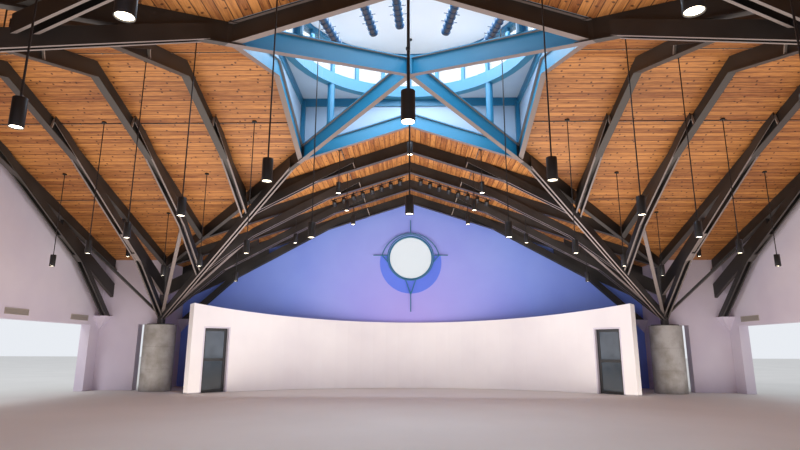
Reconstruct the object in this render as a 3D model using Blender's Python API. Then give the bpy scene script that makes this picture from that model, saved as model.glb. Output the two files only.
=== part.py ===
"""A cross-gabled church roof with a lantern, on branching steel trees and round piers.

Metres, +Z up. The origin is on the ground at the middle of the crossing. Four arms run out
along +Y (north), -X (west), -Y (south) and +X (east). Each piece is modelled once for the north
arm or the north-east corner, and turned by quarter turns for the others.
"""
import bpy
import bmesh
from math import asin, cos, pi, sin, sqrt
from mathutils import Matrix, Vector

# Clearances
FIT = 0.0003                 # between pieces that touch
WELD = 0.00002               # points closer than this are one
CLAMP = 0.002                # bite of welded channels into a rafter's flanges

# Roof form: heights are of the rafters' undersides
RIDGE_HEIGHT = 6.767         # rafter underside on the ridge lines
PITCH = 0.3293               # fall per metre away from a ridge
HALF_OPENING = 2.70          # lantern curb's centre line from the crossing
FRAME_SPACING = 1.871        # from one roof frame to the next

# Steel sections
RAFTER_DEPTH = 0.36
RAFTER_WIDTH = 0.165
VALLEY_WIDTH = 0.12
VALLEY_DROP = 0.02           # valley beams hang this much below the rafters' undersides
FLANGE_T = 0.022
WEB_T = 0.016
STRUT_DEPTH = 0.26
STRUT_FLANGE = 0.045
STRUT_T = 0.016
GUSSET_LENGTH = 0.30
GUSSET_DEPTH = 0.20
GUSSET_WIDTH = RAFTER_WIDTH + STRUT_T
TIE_WIDTH = 0.10
TIE_DEPTH = 0.46
BRACE_SIZE = 0.10            # slender square braces

# Struts: falls are per metre away from the ridge
HEAD_REACH = 1.12            # from the curb's line back to the heads, beside the rafters
FORK_REACH = 0.10            # from there back to where a strut comes out under its rafter
STRUT_FALL = 0.53            # down to the kink
END_FORK = 0.42              # the same in the end frames, outside the curb's line
END_FALL = 0.548
END_KINK_BACK = 1.89         # from the pier's axis back to the kink
END_RAKE = 0.911             # below the kink
MAIN_START = 0.26            # from the curb's line out to the heads of the diagonal struts
MAIN_FOOT_RISE = 0.10        # their undersides on the pier's axis, above the base plate
B_KINK_BACK = 1.59           # frame 2: from its crossing with the diagonal back to the kink
B_END_RISE = 0.02            # and its end above the diagonal strut's underside
KINK_BACK = 2.01             # frame 3: from the pier's axis back to the kink
C_FOOT_RISE = 0.11           # and its foot above the base plate
TIE_REACH = 1.10             # from a kink back to the inner end of the deep plate tie
TIE_RISE = 0.90              # outer ends of the ties above the base plate
SLENDER_FOOT_RISE = 0.20     # where the slender braces meet the post
SLENDER_BACK = 1.66          # from the pier's axis to where one meets the end frame's rafter
SLENDER_DROP = 0.06          # its underside there below the rafter's

# Piers and posts
PIER_R = 0.50
PIER_TOP = 2.11
BASE_PLATE_R = 0.42
BASE_PLATE_T = 0.03
POST_R = 0.125

# Walls
EAVE_SET = 0.207             # from the pier's axis out to the walls under the eaves
GABLE_SET = 0.316            # from the end frame's plane out to the gable walls
WALL_T = 0.30
LINTEL_HEIGHT = 2.10
JAMB_SET = 0.54              # from the eave wall back to the side of a wide opening
CORNER_REACH = 0.65          # from the eave wall's inner face out, the low opening by each pier
CORBEL_TOP = 2.40
CORBEL_DEPTH = 0.46          # down to its point in the corner of the walls
CORBEL_WIDTH = 0.42          # out from the gable wall

# Curved screen wall before the north gable wall
SCREEN_R = 9.05              # outer face
SCREEN_T = 0.25
SCREEN_SWEEP = 1.753         # radians
SCREEN_STEPS = 34            # even, so that a corner of the arc is in the middle
SCREEN_HEIGHT = 2.25         # at the gable wall
SCREEN_SLOPE = 0.144         # its top rises by this per metre away from there
SCREEN_DOOR_AT = 0.7815      # radians from the middle to each door
SCREEN_DOOR_WIDTH = 0.90
SCREEN_DOOR_HEIGHT = 2.03

# Roof build-up
DECK_T = 0.06
ROOF_T = 0.14
ROOF_OVERHANG = 0.35
DECK_SET = 0.07              # inner edge of the deck outside the curb's line
ROOF_SET = 0.14

# Lantern
CURB_WIDTH = 0.12
FRAME_SET = 0.06             # square frame's centre line outside the curb's
FRAME_WIDTH = 0.12
FRAME_RISE = 0.203           # above the rafters' tops on the ridge
FRAME_DEPTH = 0.21
CORNER_POST = 0.10
CORNER_POST_SET = 0.02       # inside the curb's line
UPSTAND_SET = 0.065          # outer face of the boards under the frame, outside the curb's line
BOARD_T = 0.025
RING_BITE = 0.04             # how far the ring reaches into the square frame
RING_DROP = 0.04             # ring's underside below the frame's top
RING_DEPTH = 0.29
SOFFIT_T = 0.05
SECTORS = 24
RING_POST_R = 0.085
RING_WIDTH = 2 * RING_POST_R + 0.01
MULLION_WIDTH = 0.08
MULLION_DEPTH = 0.08
MULLION_SET = 0.015          # inner faces of the mullions outside the ring's inner face
PANE_T = 0.015
GLASS_HEIGHT = 0.81
HEAD_DEPTH = 0.08
CEILING_T = 0.04
LANTERN_ROOF_SET = 0.21      # eave outside the ring
LANTERN_ROOF_T = 0.16
LANTERN_ROOF_RISE = 0.35
BOSS_R = 0.12
BOSS_DROP = 0.03             # below the ridge's level, a little below the beams
BOSS_RISE = 0.01             # above their tops

# Round window and the ornament round it; heights are from the window's middle
WINDOW_HEIGHT = 4.72
WINDOW_R = 0.835
WINDOW_FRAME_WIDTH = 0.05
WINDOW_FRAME_DEPTH = 0.12
WINDOW_FRAME_LIP = 0.02
GLASS_T = 0.02
HALO_ROD_R = 0.018
HALO_OFF = 0.10              # from the wall to the bars' centres
RIM_R = 0.865                # hoop round the window
HALO_R = 1.106               # upper hoop, about a point below the window's middle
HALO_DROP = 0.19
BAR_RISE = 0.076             # level of the side bars, where the upper hoop ends
SIDE_REACH = 0.33            # side bars past the ends of the upper hoop
TOP_REACH = 0.53             # top bar over it
LOW_BAR_TOP = 0.415          # below the hoop round the window
LOW_BAR_LENGTH = 0.75
VEE_LENGTH = 0.12            # how far the two slanting bars reach down beside the low bar
RIM_ANGLE = 0.22             # radians from its sides, and its foot, to where bars meet the hoop
PIN_R = 0.012

# Pendant light under the south arm's ridge
PENDANT_R = 0.0675
PENDANT_LENGTH = 0.30
PENDANT_HEIGHT = 3.41        # its underside
PENDANT_BAY = 1.5            # in frame spacings from the curb
STEM_R = 0.012

FRAME_NAMES = ("north", "west", "south", "east")
CORNER_NAMES = ("ne", "nw", "sw", "se")

# Colours, roughness and metallic value of each finish
FINISHES = {
    "concrete": ((0.52, 0.50, 0.47), 0.85, 0.0),
    "dark_steel": ((0.055, 0.047, 0.040), 0.45, 0.6),
    "blue_steel": ((0.02, 0.26, 0.45), 0.40, 0.3),
    "timber": ((0.56, 0.27, 0.09), 0.55, 0.0),
    "roofing": ((0.20, 0.21, 0.22), 0.60, 0.4),
    "plaster": ((0.78, 0.74, 0.76), 0.90, 0.0),
    "blue_plaster": ((0.20, 0.24, 0.66), 0.90, 0.0),
    "white_board": ((0.85, 0.86, 0.86), 0.85, 0.0),
    "pale_board": ((0.45, 0.55, 0.66), 0.80, 0.0),
    "glass": ((0.72, 0.86, 0.90), 0.05, 0.0),
    "black_metal": ((0.02, 0.02, 0.022), 0.40, 0.5),
}


def frame_line(number):
    """Distance of a roof frame's plane from the crossing; 0 is the lantern curb."""
    return HALF_OPENING + number * FRAME_SPACING


def soffit(distance):
    """Height of the rafters' undersides at a distance from the ridge."""
    return RIDGE_HEIGHT - PITCH * distance


def valley_soffit(distance):
    """Height of a valley beam's underside where both ridges are at a distance."""
    return soffit(distance) - VALLEY_DROP


def deck_soffit(distance):
    """Height of the deck's underside at a distance from the ridge."""
    return soffit(distance) + RAFTER_DEPTH + FIT


def roof_soffit(distance):
    """Height of the roof covering's underside at a distance from the ridge."""
    return deck_soffit(distance) + DECK_T + FIT


# Sizes that follow from the ones above

PIER_AT = frame_line(3)
POST_FOOT = PIER_TOP + FIT + BASE_PLATE_T
EAVE_WALL = PIER_AT + EAVE_SET               # inner faces
GABLE_WALL = frame_line(4) + GABLE_SET
OPENING_HALF = EAVE_WALL - JAMB_SET
RAFTER_GRIP = RAFTER_WIDTH / 2 + FIT         # where a pair of channels clasps a beam
VALLEY_GRIP = VALLEY_WIDTH / 2 + FIT
END_GRIP = RAFTER_WIDTH / 2 - CLAMP
VALLEY_DEPTH = RAFTER_DEPTH + VALLEY_DROP
VALLEY_UP = Vector((PITCH / 2, PITCH / 2, 1)).normalized()   # square to the valley beams
CURB_OUT = HALF_OPENING + CURB_WIDTH / 2
HEAD = HALF_OPENING - HEAD_REACH
KINK = PIER_AT - KINK_BACK
END_KINK = PIER_AT - END_KINK_BACK
MAIN_HEAD = HALF_OPENING + MAIN_START
MAIN_FOOT = POST_FOOT + MAIN_FOOT_RISE
FRAME_LINE = HALF_OPENING + FRAME_SET
FRAME_HALF = FRAME_LINE + FRAME_WIDTH / 2    # outer faces of the square frame
FRAME_LOW = soffit(0) + RAFTER_DEPTH + FRAME_RISE
FRAME_HIGH = FRAME_LOW + FRAME_DEPTH
RING_OUT = FRAME_LINE - FRAME_WIDTH / 2 + RING_BITE
RING_IN = RING_OUT - RING_WIDTH
RING_LOW = FRAME_HIGH - RING_DROP
RING_HIGH = RING_LOW + RING_DEPTH
MULLION_IN = RING_IN + MULLION_SET
RING_POST_AT = (RING_OUT + RING_IN) / 2 / sqrt(2)    # both ways from the middle
DRUM_LOW = RING_HIGH + FIT
DRUM_HEAD = RING_HIGH + GLASS_HEIGHT
DRUM_HIGH = DRUM_HEAD + HEAD_DEPTH
HALO_PLANE = GABLE_WALL - HALO_OFF
HALO_MIDDLE = WINDOW_HEIGHT - HALO_DROP
HALO_END = sqrt(HALO_R ** 2 - (HALO_DROP + BAR_RISE) ** 2)   # from the middle line
HALO_SWEEP = pi - 2 * asin((HALO_DROP + BAR_RISE) / HALO_R)


def clear_scene():
    """Remove every object of the scene."""
    for item in list(bpy.data.objects):
        bpy.data.objects.remove(item)


def make_material(name):
    """A plain material in one of the finishes."""
    colour, roughness, metallic = FINISHES[name]
    material = bpy.data.materials.new(name)
    material.use_nodes = True
    shader = material.node_tree.nodes["Principled BSDF"]
    shader.inputs["Base Color"].default_value = (*colour, 1.0)
    shader.inputs["Roughness"].default_value = roughness
    shader.inputs["Metallic"].default_value = metallic
    material.diffuse_color = (*colour, 1.0)
    return material


def fused(shapes):
    """One closed shape from overlapping ones."""
    base, tools = shapes[0], shapes[1:]
    if not tools:
        return base
    held = bpy.data.collections.new("held")
    cutters.children.link(held)
    item = scratch_object("base", base, cutters)
    for tool in tools:
        scratch_object("tool", tool, held)
    change = item.modifiers.new("join", "BOOLEAN")
    change.operation = "UNION"
    change.solver = "EXACT"
    change.operand_type = "COLLECTION"
    change.collection = held
    result = evaluated(item)
    for used in [item] + list(held.objects):
        bpy.data.meshes.remove(used.data)
    bpy.data.collections.remove(held)
    return result


def cut(base, tool):
    """One shape with another taken out of it."""
    items = [scratch_object("base", base, cutters), scratch_object("tool", tool, cutters)]
    change = items[0].modifiers.new("cut", "BOOLEAN")
    change.operation = "DIFFERENCE"
    change.solver = "EXACT"
    change.object = items[1]
    result = evaluated(items[0])
    for used in items:
        bpy.data.meshes.remove(used.data)
    return result


def scratch_object(name, shape, collection):
    """An object that only helps to shape others."""
    mesh = bpy.data.meshes.new(name)
    shape.to_mesh(mesh)
    shape.free()
    item = bpy.data.objects.new(name, mesh)
    item.hide_render = True
    item.display_type = "WIRE"
    collection.objects.link(item)
    return item


def evaluated(item):
    """An object's shape with its modifiers applied."""
    view = bpy.context.evaluated_depsgraph_get()
    mesh = bpy.data.meshes.new_from_object(item.evaluated_get(view))
    shape = bmesh.new()
    shape.from_mesh(mesh)
    bpy.data.meshes.remove(mesh)
    bmesh.ops.remove_doubles(shape, verts=shape.verts, dist=WELD)
    bmesh.ops.dissolve_degenerate(shape, edges=shape.edges, dist=WELD)
    return shape


def make_object(name, shape, finish, quarter=0):
    """One named object from a closed shape, turned by quarter turns about the crossing."""
    mesh = bpy.data.meshes.new(name)
    bmesh.ops.recalc_face_normals(shape, faces=shape.faces)
    shape.to_mesh(mesh)
    mesh.transform(Matrix.Rotation(quarter * pi / 2, 4, "Z"))
    item = bpy.data.objects.new(name, mesh)
    item.data.materials.append(make_material(finish))
    parts.objects.link(item)
    return item


# Basic solids


def prism(outline, travel):
    """A flat outline of 3-D points moved along a straight line."""
    shape = bmesh.new()
    face = shape.faces.new([shape.verts.new(point) for point in outline])
    moved = bmesh.ops.extrude_face_region(shape, geom=[face])["geom"]
    top = [part for part in moved if isinstance(part, bmesh.types.BMVert)]
    bmesh.ops.translate(shape, verts=top, vec=Vector(travel))
    bmesh.ops.recalc_face_normals(shape, faces=shape.faces)
    return shape


def box(low, high):
    """A box between two corners."""
    shape = bmesh.new()
    bmesh.ops.create_cube(shape, size=1.0)
    low, high = Vector(low), Vector(high)
    size = high - low
    bmesh.ops.scale(shape, vec=size, verts=shape.verts)
    bmesh.ops.translate(shape, vec=(low + high) / 2, verts=shape.verts)
    return shape


def cylinder(radius, low, high, at=(0.0, 0.0), sides=32):
    """An upright cylinder between two heights."""
    shape = bmesh.new()
    bmesh.ops.create_cone(shape, cap_ends=True, segments=sides,
                          radius1=radius, radius2=radius, depth=high - low)
    bmesh.ops.translate(shape, vec=(at[0], at[1], (low + high) / 2), verts=shape.verts)
    return shape


def rod(start, end, radius, sides=10):
    """A straight round bar between two points."""
    start, end = Vector(start), Vector(end)
    shape = bmesh.new()
    bmesh.ops.create_cone(shape, cap_ends=True, segments=sides,
                          radius1=radius, radius2=radius, depth=(end - start).length)
    turn = Vector((0, 0, 1)).rotation_difference(end - start).to_matrix()
    bmesh.ops.rotate(shape, matrix=turn, verts=shape.verts)
    bmesh.ops.translate(shape, vec=(start + end) / 2, verts=shape.verts)
    return shape


def trim(shape, point, normal):
    """Cut off what lies beyond a plane, and close the cut."""
    section = bmesh.ops.bisect_plane(
        shape, geom=shape.verts[:] + shape.edges[:] + shape.faces[:], dist=1e-6,
        plane_co=Vector(point), plane_no=Vector(normal), clear_outer=True)["geom_cut"]
    edges = [part for part in section if isinstance(part, bmesh.types.BMEdge)]
    bmesh.ops.holes_fill(shape, edges=edges, sides=0)
    return shape


# Steel sections. A profile is a list of (sideways, up) points about the member's underside.


def i_profile(width, depth):
    """Outline of an I section with its underside at height 0."""
    half, web = width / 2, WEB_T / 2
    low, high = FLANGE_T, depth - FLANGE_T
    return [(-half, 0), (half, 0), (half, low), (web, low), (web, high), (half, high),
            (half, depth), (-half, depth), (-half, high), (-web, high), (-web, low), (-half, low)]


def tee_profile(width, depth):
    """Outline of a tee with its flange at the bottom, at height 0."""
    half, web = width / 2, WEB_T / 2
    return [(-half, 0), (half, 0), (half, FLANGE_T), (web, FLANGE_T), (web, depth),
            (-web, depth), (-web, FLANGE_T), (-half, FLANGE_T)]


def channel_profile(grip, side):
    """Outline of one channel of a pair: its web at `grip` from the middle, flanges inward."""
    inner = grip - FIT
    outer = inner + STRUT_T
    toe = outer - STRUT_FLANGE
    low, high = STRUT_T, STRUT_DEPTH - STRUT_T
    points = [(outer, 0), (toe, 0), (toe, low), (inner, low), (inner, high), (toe, high),
              (toe, STRUT_DEPTH), (outer, STRUT_DEPTH)]
    return [(side * across, up) for across, up in points]


def box_profile(width, depth):
    """Outline of a rectangular bar with its underside at height 0."""
    return [(-width / 2, 0), (width / 2, 0), (width / 2, depth), (-width / 2, depth)]


def member(profile, points):
    """A bar with upright end faces along a path that keeps to one upright plane."""
    points = [Vector(point) for point in points]
    run = (points[1] - points[0]).xy.normalized()
    side = Vector((run.y, -run.x, 0.0))
    shape = bmesh.new()
    outline = [points[0] + side * across + Vector((0, 0, up)) for across, up in profile]
    face = shape.faces.new([shape.verts.new(point) for point in outline])
    for start, end in zip(points, points[1:]):
        moved = bmesh.ops.extrude_face_region(shape, geom=[face])["geom"]
        bmesh.ops.translate(shape, vec=end - start,
                            verts=[part for part in moved if isinstance(part, bmesh.types.BMVert)])
        if start is not points[0]:
            shape.faces.remove(face)
        face = [part for part in moved if isinstance(part, bmesh.types.BMFace)][0]
    bmesh.ops.recalc_face_normals(shape, faces=shape.faces)
    return shape


def pair(points, grip, beam):
    """Two channels along one path, toe to toe, cut round the beam that they clasp.

    `beam` is a path along that beam's underside.
    """
    shapes = []
    for side in (1, -1):
        room = member(box_profile(2 * grip, 2 * RAFTER_DEPTH),
                      [Vector(point) - Vector((0, 0, FIT)) for point in beam])
        shapes.append(cut(member(channel_profile(grip, side), points), room))
    return shapes


def swapped(point):
    """The mirror image of a point in the corner's diagonal."""
    return (point[1], point[0], point[2])


# Lines of the struts' undersides, by distance from the ridge


def strut_height(distance):
    """Height of an inner frame's strut from its head to its kink."""
    fork = HALF_OPENING - FORK_REACH
    return soffit(fork) - STRUT_FALL * (distance - fork)


def end_strut_height(distance):
    """Height of an end frame's strut, which is steeper below the kink."""
    fork = HALF_OPENING + END_FORK
    height = soffit(fork) - END_FALL * (min(distance, END_KINK) - fork)
    return height - END_RAKE * max(distance - END_KINK, 0)


def main_height(distance):
    """Height of the diagonal strut where both ridges are at a distance."""
    share = (distance - MAIN_HEAD) / (PIER_AT - MAIN_HEAD)
    return soffit(MAIN_HEAD) + share * (MAIN_FOOT - soffit(MAIN_HEAD))


def frame_pair(plane, stations, place, grip=RAFTER_GRIP):
    """The double strut of an east arm's frame in the plane x = `plane`, below the deck."""
    points = [place((plane, distance, height)) for distance, height in stations]
    beam = [place((plane, distance, soffit(distance))) for distance in (0, EAVE_WALL)]
    below = (0, 0, deck_soffit(0) - FIT)
    slope = Vector(place((0, PITCH, 1))).normalized()
    return [trim(shape, below, slope) for shape in pair(points, grip, beam)]


def kink_plates(plane, kink, height, place, end):
    """The plate between a strut's two channels at the kink, and the deep tie through it."""
    plate = member(box_profile(GUSSET_WIDTH, GUSSET_DEPTH),
                   [place((plane, distance, height(distance) + STRUT_T / 2))
                    for distance in (kink - GUSSET_LENGTH, kink)])
    start = kink - TIE_REACH
    tie = member(box_profile(TIE_WIDTH, TIE_DEPTH),
                 [place((plane, start, height(start) + STRUT_T)),
                  place((plane, end, POST_FOOT + TIE_RISE))])
    return [plate, tie]


# Corner pieces, modelled in the north-east corner


def pier():
    """A round pier."""
    return cylinder(PIER_R, 0.0, PIER_TOP, (PIER_AT, PIER_AT), 48)


def frame_struts(flip):
    """Struts of the inner frames of one arm, as the tree of the corner holds them."""
    place = swapped if flip else tuple
    towards_main = Vector(place((-1, 1, 0))).normalized()
    face = -towards_main * (VALLEY_GRIP + STRUT_T / 2)
    crossing = frame_line(2) + VALLEY_WIDTH / 2
    kink = frame_line(2) - B_KINK_BACK
    end = main_height(crossing) + B_END_RISE
    runs = ((frame_line(1), [HEAD, frame_line(1) + VALLEY_WIDTH / 2], []),
            (frame_line(2), [HEAD, kink], [(crossing, end)]))
    shapes = []
    for plane, distances, last in runs:
        stations = [(distance, strut_height(distance)) for distance in distances] + last
        for shape in frame_pair(plane, stations, place):
            shapes.append(trim(shape, face, towards_main))
    stations = [(distance, strut_height(distance)) for distance in (HEAD, KINK)]
    shapes += frame_pair(PIER_AT, stations + [(PIER_AT, POST_FOOT + C_FOOT_RISE)], place)
    shapes += kink_plates(PIER_AT, KINK, strut_height, place, PIER_AT)

    reach = PIER_AT - SLENDER_BACK
    brace = slender((frame_line(4), reach, soffit(reach) - SLENDER_DROP), place)
    face = frame_line(4) - RAFTER_WIDTH / 2 - FIT
    shapes.append(trim(brace, place((face, 0, 0)), place((1, 0, 0))))
    reach = kink + STRUT_FLANGE
    brace = slender((frame_line(2), reach, strut_height(kink) + STRUT_T), place)
    face = frame_line(2) + RAFTER_GRIP + STRUT_T / 2
    shapes.append(trim(brace, place((face, 0, 0)), place((-1, 0, 0))))
    return shapes


def slender(end, place):
    """A slender square brace from the post to a point."""
    start = (PIER_AT, PIER_AT, POST_FOOT + SLENDER_FOOT_RISE)
    return member(box_profile(BRACE_SIZE, BRACE_SIZE), [place(start), place(end)])


def tree():
    """Base plate, post, double diagonal strut, frame struts and braces of one corner."""
    plate = cylinder(BASE_PLATE_R, PIER_TOP + FIT, POST_FOOT, (PIER_AT, PIER_AT), 32)
    post = cylinder(POST_R, PIER_TOP + BASE_PLATE_T / 2, soffit(PIER_AT), (PIER_AT, PIER_AT), 16)
    trim(post, (PIER_AT, PIER_AT, valley_soffit(PIER_AT) - FIT), VALLEY_UP)
    beam = [(distance, distance, valley_soffit(distance)) for distance in (HALF_OPENING, EAVE_WALL)]
    mains = pair([(distance, distance, main_height(distance)) for distance in (MAIN_HEAD, PIER_AT)],
                 VALLEY_GRIP, beam)
    shapes = [post, plate] + mains + frame_struts(False) + frame_struts(True)
    return fused(shapes)


def corner_wall():
    """Two eave walls that meet over the pier, and the corbels of the two end frames."""
    high_end = GABLE_WALL - FIT
    outer = EAVE_WALL + WALL_T
    legs = [box((EAVE_WALL, EAVE_WALL, 0), (outer, high_end, RIDGE_HEIGHT)),
            box((EAVE_WALL, EAVE_WALL, 0), (high_end, outer, RIDGE_HEIGHT))]
    top = (0, 0, deck_soffit(0) - FIT)
    for leg, away in zip(legs, ((PITCH, 0, 1), (0, PITCH, 1))):
        trim(leg, top, Vector(away).normalized())
    near, far = EAVE_WALL - WALL_T, EAVE_WALL + CORNER_REACH
    cutter = box((near, near, -WALL_T), (far, far, POST_FOOT + FIT))
    return fused([cut(fused(legs), cutter), corbel(False), corbel(True)])


def corbel(flip):
    """A bracket under an end strut that tapers to a point in the corner of the two walls."""
    place = swapped if flip else tuple
    wall, gable = EAVE_WALL + WALL_T / 2, GABLE_WALL - FIT
    near = END_KINK + (end_strut_height(END_KINK) - CORBEL_TOP) / END_RAKE
    low = CORBEL_TOP - CORBEL_DEPTH
    points = [(x, y, CORBEL_TOP) for x in (near, wall) for y in (gable - CORBEL_WIDTH, gable)]
    points += [(x, gable, low) for x in (EAVE_WALL, wall)]
    shape = bmesh.new()
    bmesh.ops.convex_hull(shape, input=[shape.verts.new(place(point)) for point in points])
    bmesh.ops.recalc_face_normals(shape, faces=shape.faces)
    return shape


# Arm pieces, modelled in the north arm


def rafters(line, end, profile):
    """Both rafters of a frame in the plane y = `line`, mitred on the ridge."""
    path = [(-end, line, soffit(end)), (0, line, soffit(0)), (end, line, soffit(end))]
    return member(profile, path)


def inner_frame(number):
    """The rafters of a frame between the lantern and the end frame."""
    line = frame_line(number)
    shape = rafters(line, line, tee_profile(RAFTER_WIDTH, RAFTER_DEPTH))
    for side in (1, -1):
        normal = Vector((side, -1, 0)).normalized()
        trim(shape, -normal * VALLEY_GRIP, normal)
    return shape


def end_frame():
    """The frame beside the gable wall: rafters, raking double struts and ties."""
    line = frame_line(4)
    wall = EAVE_WALL - FIT
    shapes = [rafters(line, wall, tee_profile(RAFTER_WIDTH, RAFTER_DEPTH))]
    stations = [(distance, end_strut_height(distance)) for distance in (HEAD, END_KINK, EAVE_WALL)]
    for side in (1, -1):
        def place(point):
            return (side * point[1], point[0], point[2])
        for shape in frame_pair(line, stations, place, END_GRIP):
            trim(shape, (0, 0, CORBEL_TOP + FIT), (0, 0, -1))
            shapes.append(trim(shape, place((0, wall, 0)), place((0, 1, 0))))
        shapes += kink_plates(line, END_KINK, end_strut_height, place, wall)
    return fused(shapes)


def slopes(start, past_wall, height, thickness):
    """Both slopes of one arm's roof as one slab of even upright thickness.

    They meet on the ridge, start at `start` beside the lantern, run out past the inner faces of
    the walls, and stop just short of the valleys.
    """
    eave, far = EAVE_WALL + past_wall, GABLE_WALL + past_wall
    half = [(start - FIT, start), (eave, eave + FIT), (eave, far)]
    shape = bmesh.new()
    for side in (1, -1):
        outline = [(0, start)] + half + [(0, far)]
        points = [(side * x, y, height(x)) for x, y in outline]
        shape.faces.new([shape.verts.new(point) for point in points])
    bmesh.ops.remove_doubles(shape, verts=shape.verts, dist=WELD)
    bmesh.ops.recalc_face_normals(shape, faces=shape.faces)
    moved = bmesh.ops.extrude_face_region(shape, geom=shape.faces[:])["geom"]
    bmesh.ops.translate(shape, vec=(0, 0, thickness),
                        verts=[part for part in moved if isinstance(part, bmesh.types.BMVert)])
    bmesh.ops.recalc_face_normals(shape, faces=shape.faces)
    return shape


def deck():
    """The board deck on the rafters."""
    return slopes(HALF_OPENING + DECK_SET, WALL_T, deck_soffit, DECK_T)


def roof_covering():
    """The weather covering."""
    return slopes(HALF_OPENING + ROOF_SET, WALL_T + ROOF_OVERHANG, roof_soffit, ROOF_T)


def gable_wall(opening):
    """A gable wall, with the wide low opening where `opening` is set, else the round window."""
    edge = EAVE_WALL + WALL_T
    low_top, high_top = deck_soffit(edge) - FIT, deck_soffit(0) - FIT
    outline = [(-edge, 0), (edge, 0), (edge, low_top), (0, high_top), (-edge, low_top)]
    wall = prism([(x, GABLE_WALL, z) for x, z in outline], (0, WALL_T, 0))
    low, high = GABLE_WALL - WALL_T, GABLE_WALL + 2 * WALL_T
    if opening:
        tool = box((-OPENING_HALF, low, -WALL_T), (OPENING_HALF, high, LINTEL_HEIGHT))
    else:
        tool = rod((0, low, WINDOW_HEIGHT), (0, high, WINDOW_HEIGHT), WINDOW_R, 48)
    return cut(wall, tool)


def screen_wall():
    """The low curved wall with two door openings that stands before the north gable wall."""
    centre = GABLE_WALL - FIT - SCREEN_R
    angles = [SCREEN_SWEEP * (step / SCREEN_STEPS - 0.5) for step in range(SCREEN_STEPS + 1)]
    outline = [(SCREEN_R * sin(angle), centre + SCREEN_R * cos(angle), 0) for angle in angles]
    inner = SCREEN_R - SCREEN_T
    outline += [(inner * sin(angle), centre + inner * cos(angle), 0) for angle in angles[::-1]]
    wall = prism(outline, (0, 0, 2 * SCREEN_HEIGHT))
    trim(wall, (0, GABLE_WALL, SCREEN_HEIGHT), Vector((0, SCREEN_SLOPE, 1)).normalized())
    for side in (1, -1):
        tool = box((-SCREEN_DOOR_WIDTH / 2, inner - SCREEN_T, -WALL_T),
                   (SCREEN_DOOR_WIDTH / 2, SCREEN_R + SCREEN_T, SCREEN_DOOR_HEIGHT))
        turn = Matrix.Rotation(side * SCREEN_DOOR_AT, 3, "Z")
        bmesh.ops.rotate(tool, matrix=turn, verts=tool.verts)
        bmesh.ops.translate(tool, vec=(0, centre, 0), verts=tool.verts)
        wall = cut(wall, tool)
    return wall


# Crossing and lantern


def valley_beam(start, end, profile):
    """A valley beam between two distances from the ridges, in the north-east corner."""
    path = [(start, start, valley_soffit(start)), (end, end, valley_soffit(end))]
    return member(profile, path)


def outer_valley():
    """The valley beam from the lantern curb to the post."""
    return valley_beam(CURB_OUT + FIT, EAVE_WALL - VALLEY_WIDTH / 2,
                       tee_profile(VALLEY_WIDTH, VALLEY_DEPTH))


def crown():
    """The curb of the lantern, the beams over its diagonals and the crown boss."""
    low = soffit(0) - BOSS_DROP
    shapes = [cylinder(BOSS_R, low, soffit(0) + RAFTER_DEPTH + BOSS_RISE, sides=16)]
    for quarter in range(4):
        beam = valley_beam(BOSS_R / 2, CURB_OUT, i_profile(VALLEY_WIDTH, VALLEY_DEPTH))
        shapes.append(turned(beam, quarter))
        curb = rafters(HALF_OPENING, HALF_OPENING + CURB_WIDTH, i_profile(CURB_WIDTH, RAFTER_DEPTH))
        for side in (1, -1):
            normal = Vector((side, -1, 0)).normalized()
            trim(curb, -normal * WEB_T / 4, normal)
        shapes.append(turned(curb, quarter))
    return fused(shapes)


def turned(shape, quarter):
    """A shape turned by quarter turns about the crossing."""
    turn = Matrix.Rotation(quarter * pi / 2, 3, "Z")
    bmesh.ops.rotate(shape, matrix=turn, verts=shape.verts)
    return shape


def tube(outer, inner, low, high, sides):
    """An upright ring about the lantern's axis."""
    outside = cylinder(outer, low, high, sides=sides)
    return cut(outside, cylinder(inner, low - WALL_T, high + WALL_T, sides=sides))


def lantern_frame():
    """The square frame over the curb with its corner posts, and the ring on its four posts."""
    half = FRAME_WIDTH / 2
    post_in = HALF_OPENING - CORNER_POST_SET - CORNER_POST / 2
    post_out = post_in + CORNER_POST
    shapes = [tube(RING_OUT, RING_IN, RING_LOW, RING_HIGH, 2 * SECTORS)]
    for quarter in range(4):
        beam = box((-FRAME_HALF, FRAME_LINE - half, FRAME_LOW),
                   (FRAME_HALF, FRAME_HALF, FRAME_HIGH))
        shapes.append(turned(beam, quarter))
        base = soffit(post_in) + RAFTER_DEPTH + FIT
        post = box((post_in, post_in, base), (post_out, post_out, FRAME_LOW + FRAME_DEPTH / 2))
        shapes.append(turned(post, quarter))
        post = cylinder(RING_POST_R, soffit(RING_POST_AT), RING_LOW + RING_DEPTH / 2,
                        (RING_POST_AT, RING_POST_AT), 12)
        seat = valley_soffit(RING_POST_AT) + VALLEY_DEPTH + FIT
        trim(post, (RING_POST_AT, RING_POST_AT, seat), -VALLEY_UP)
        shapes.append(turned(post, quarter))
    return fused(shapes)


def lantern_upstand():
    """The pale upright boards between the sloping curb and the level frame."""
    shape = bmesh.new()
    outer = HALF_OPENING + UPSTAND_SET
    inner = outer - BOARD_T
    edges = ((outer, False), (outer, True), (inner, True), (inner, False))
    sections = []
    for quarter in range(4):
        turn = Matrix.Rotation(quarter * pi / 2, 3, "Z")
        for share in (1, 0):                 # on the corner, then on the ridge
            section = []
            for away, top in edges:
                height = FRAME_LOW - FIT if top else deck_soffit(away * share)
                section.append(shape.verts.new(turn @ Vector((away * share, away, height))))
            sections.append(section)
    for this, following in zip(sections, sections[1:] + sections[:1]):
        for index in range(len(edges)):
            near = (this[index - 1], this[index])
            shape.faces.new(near + (following[index], following[index - 1]))
    return shape


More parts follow.
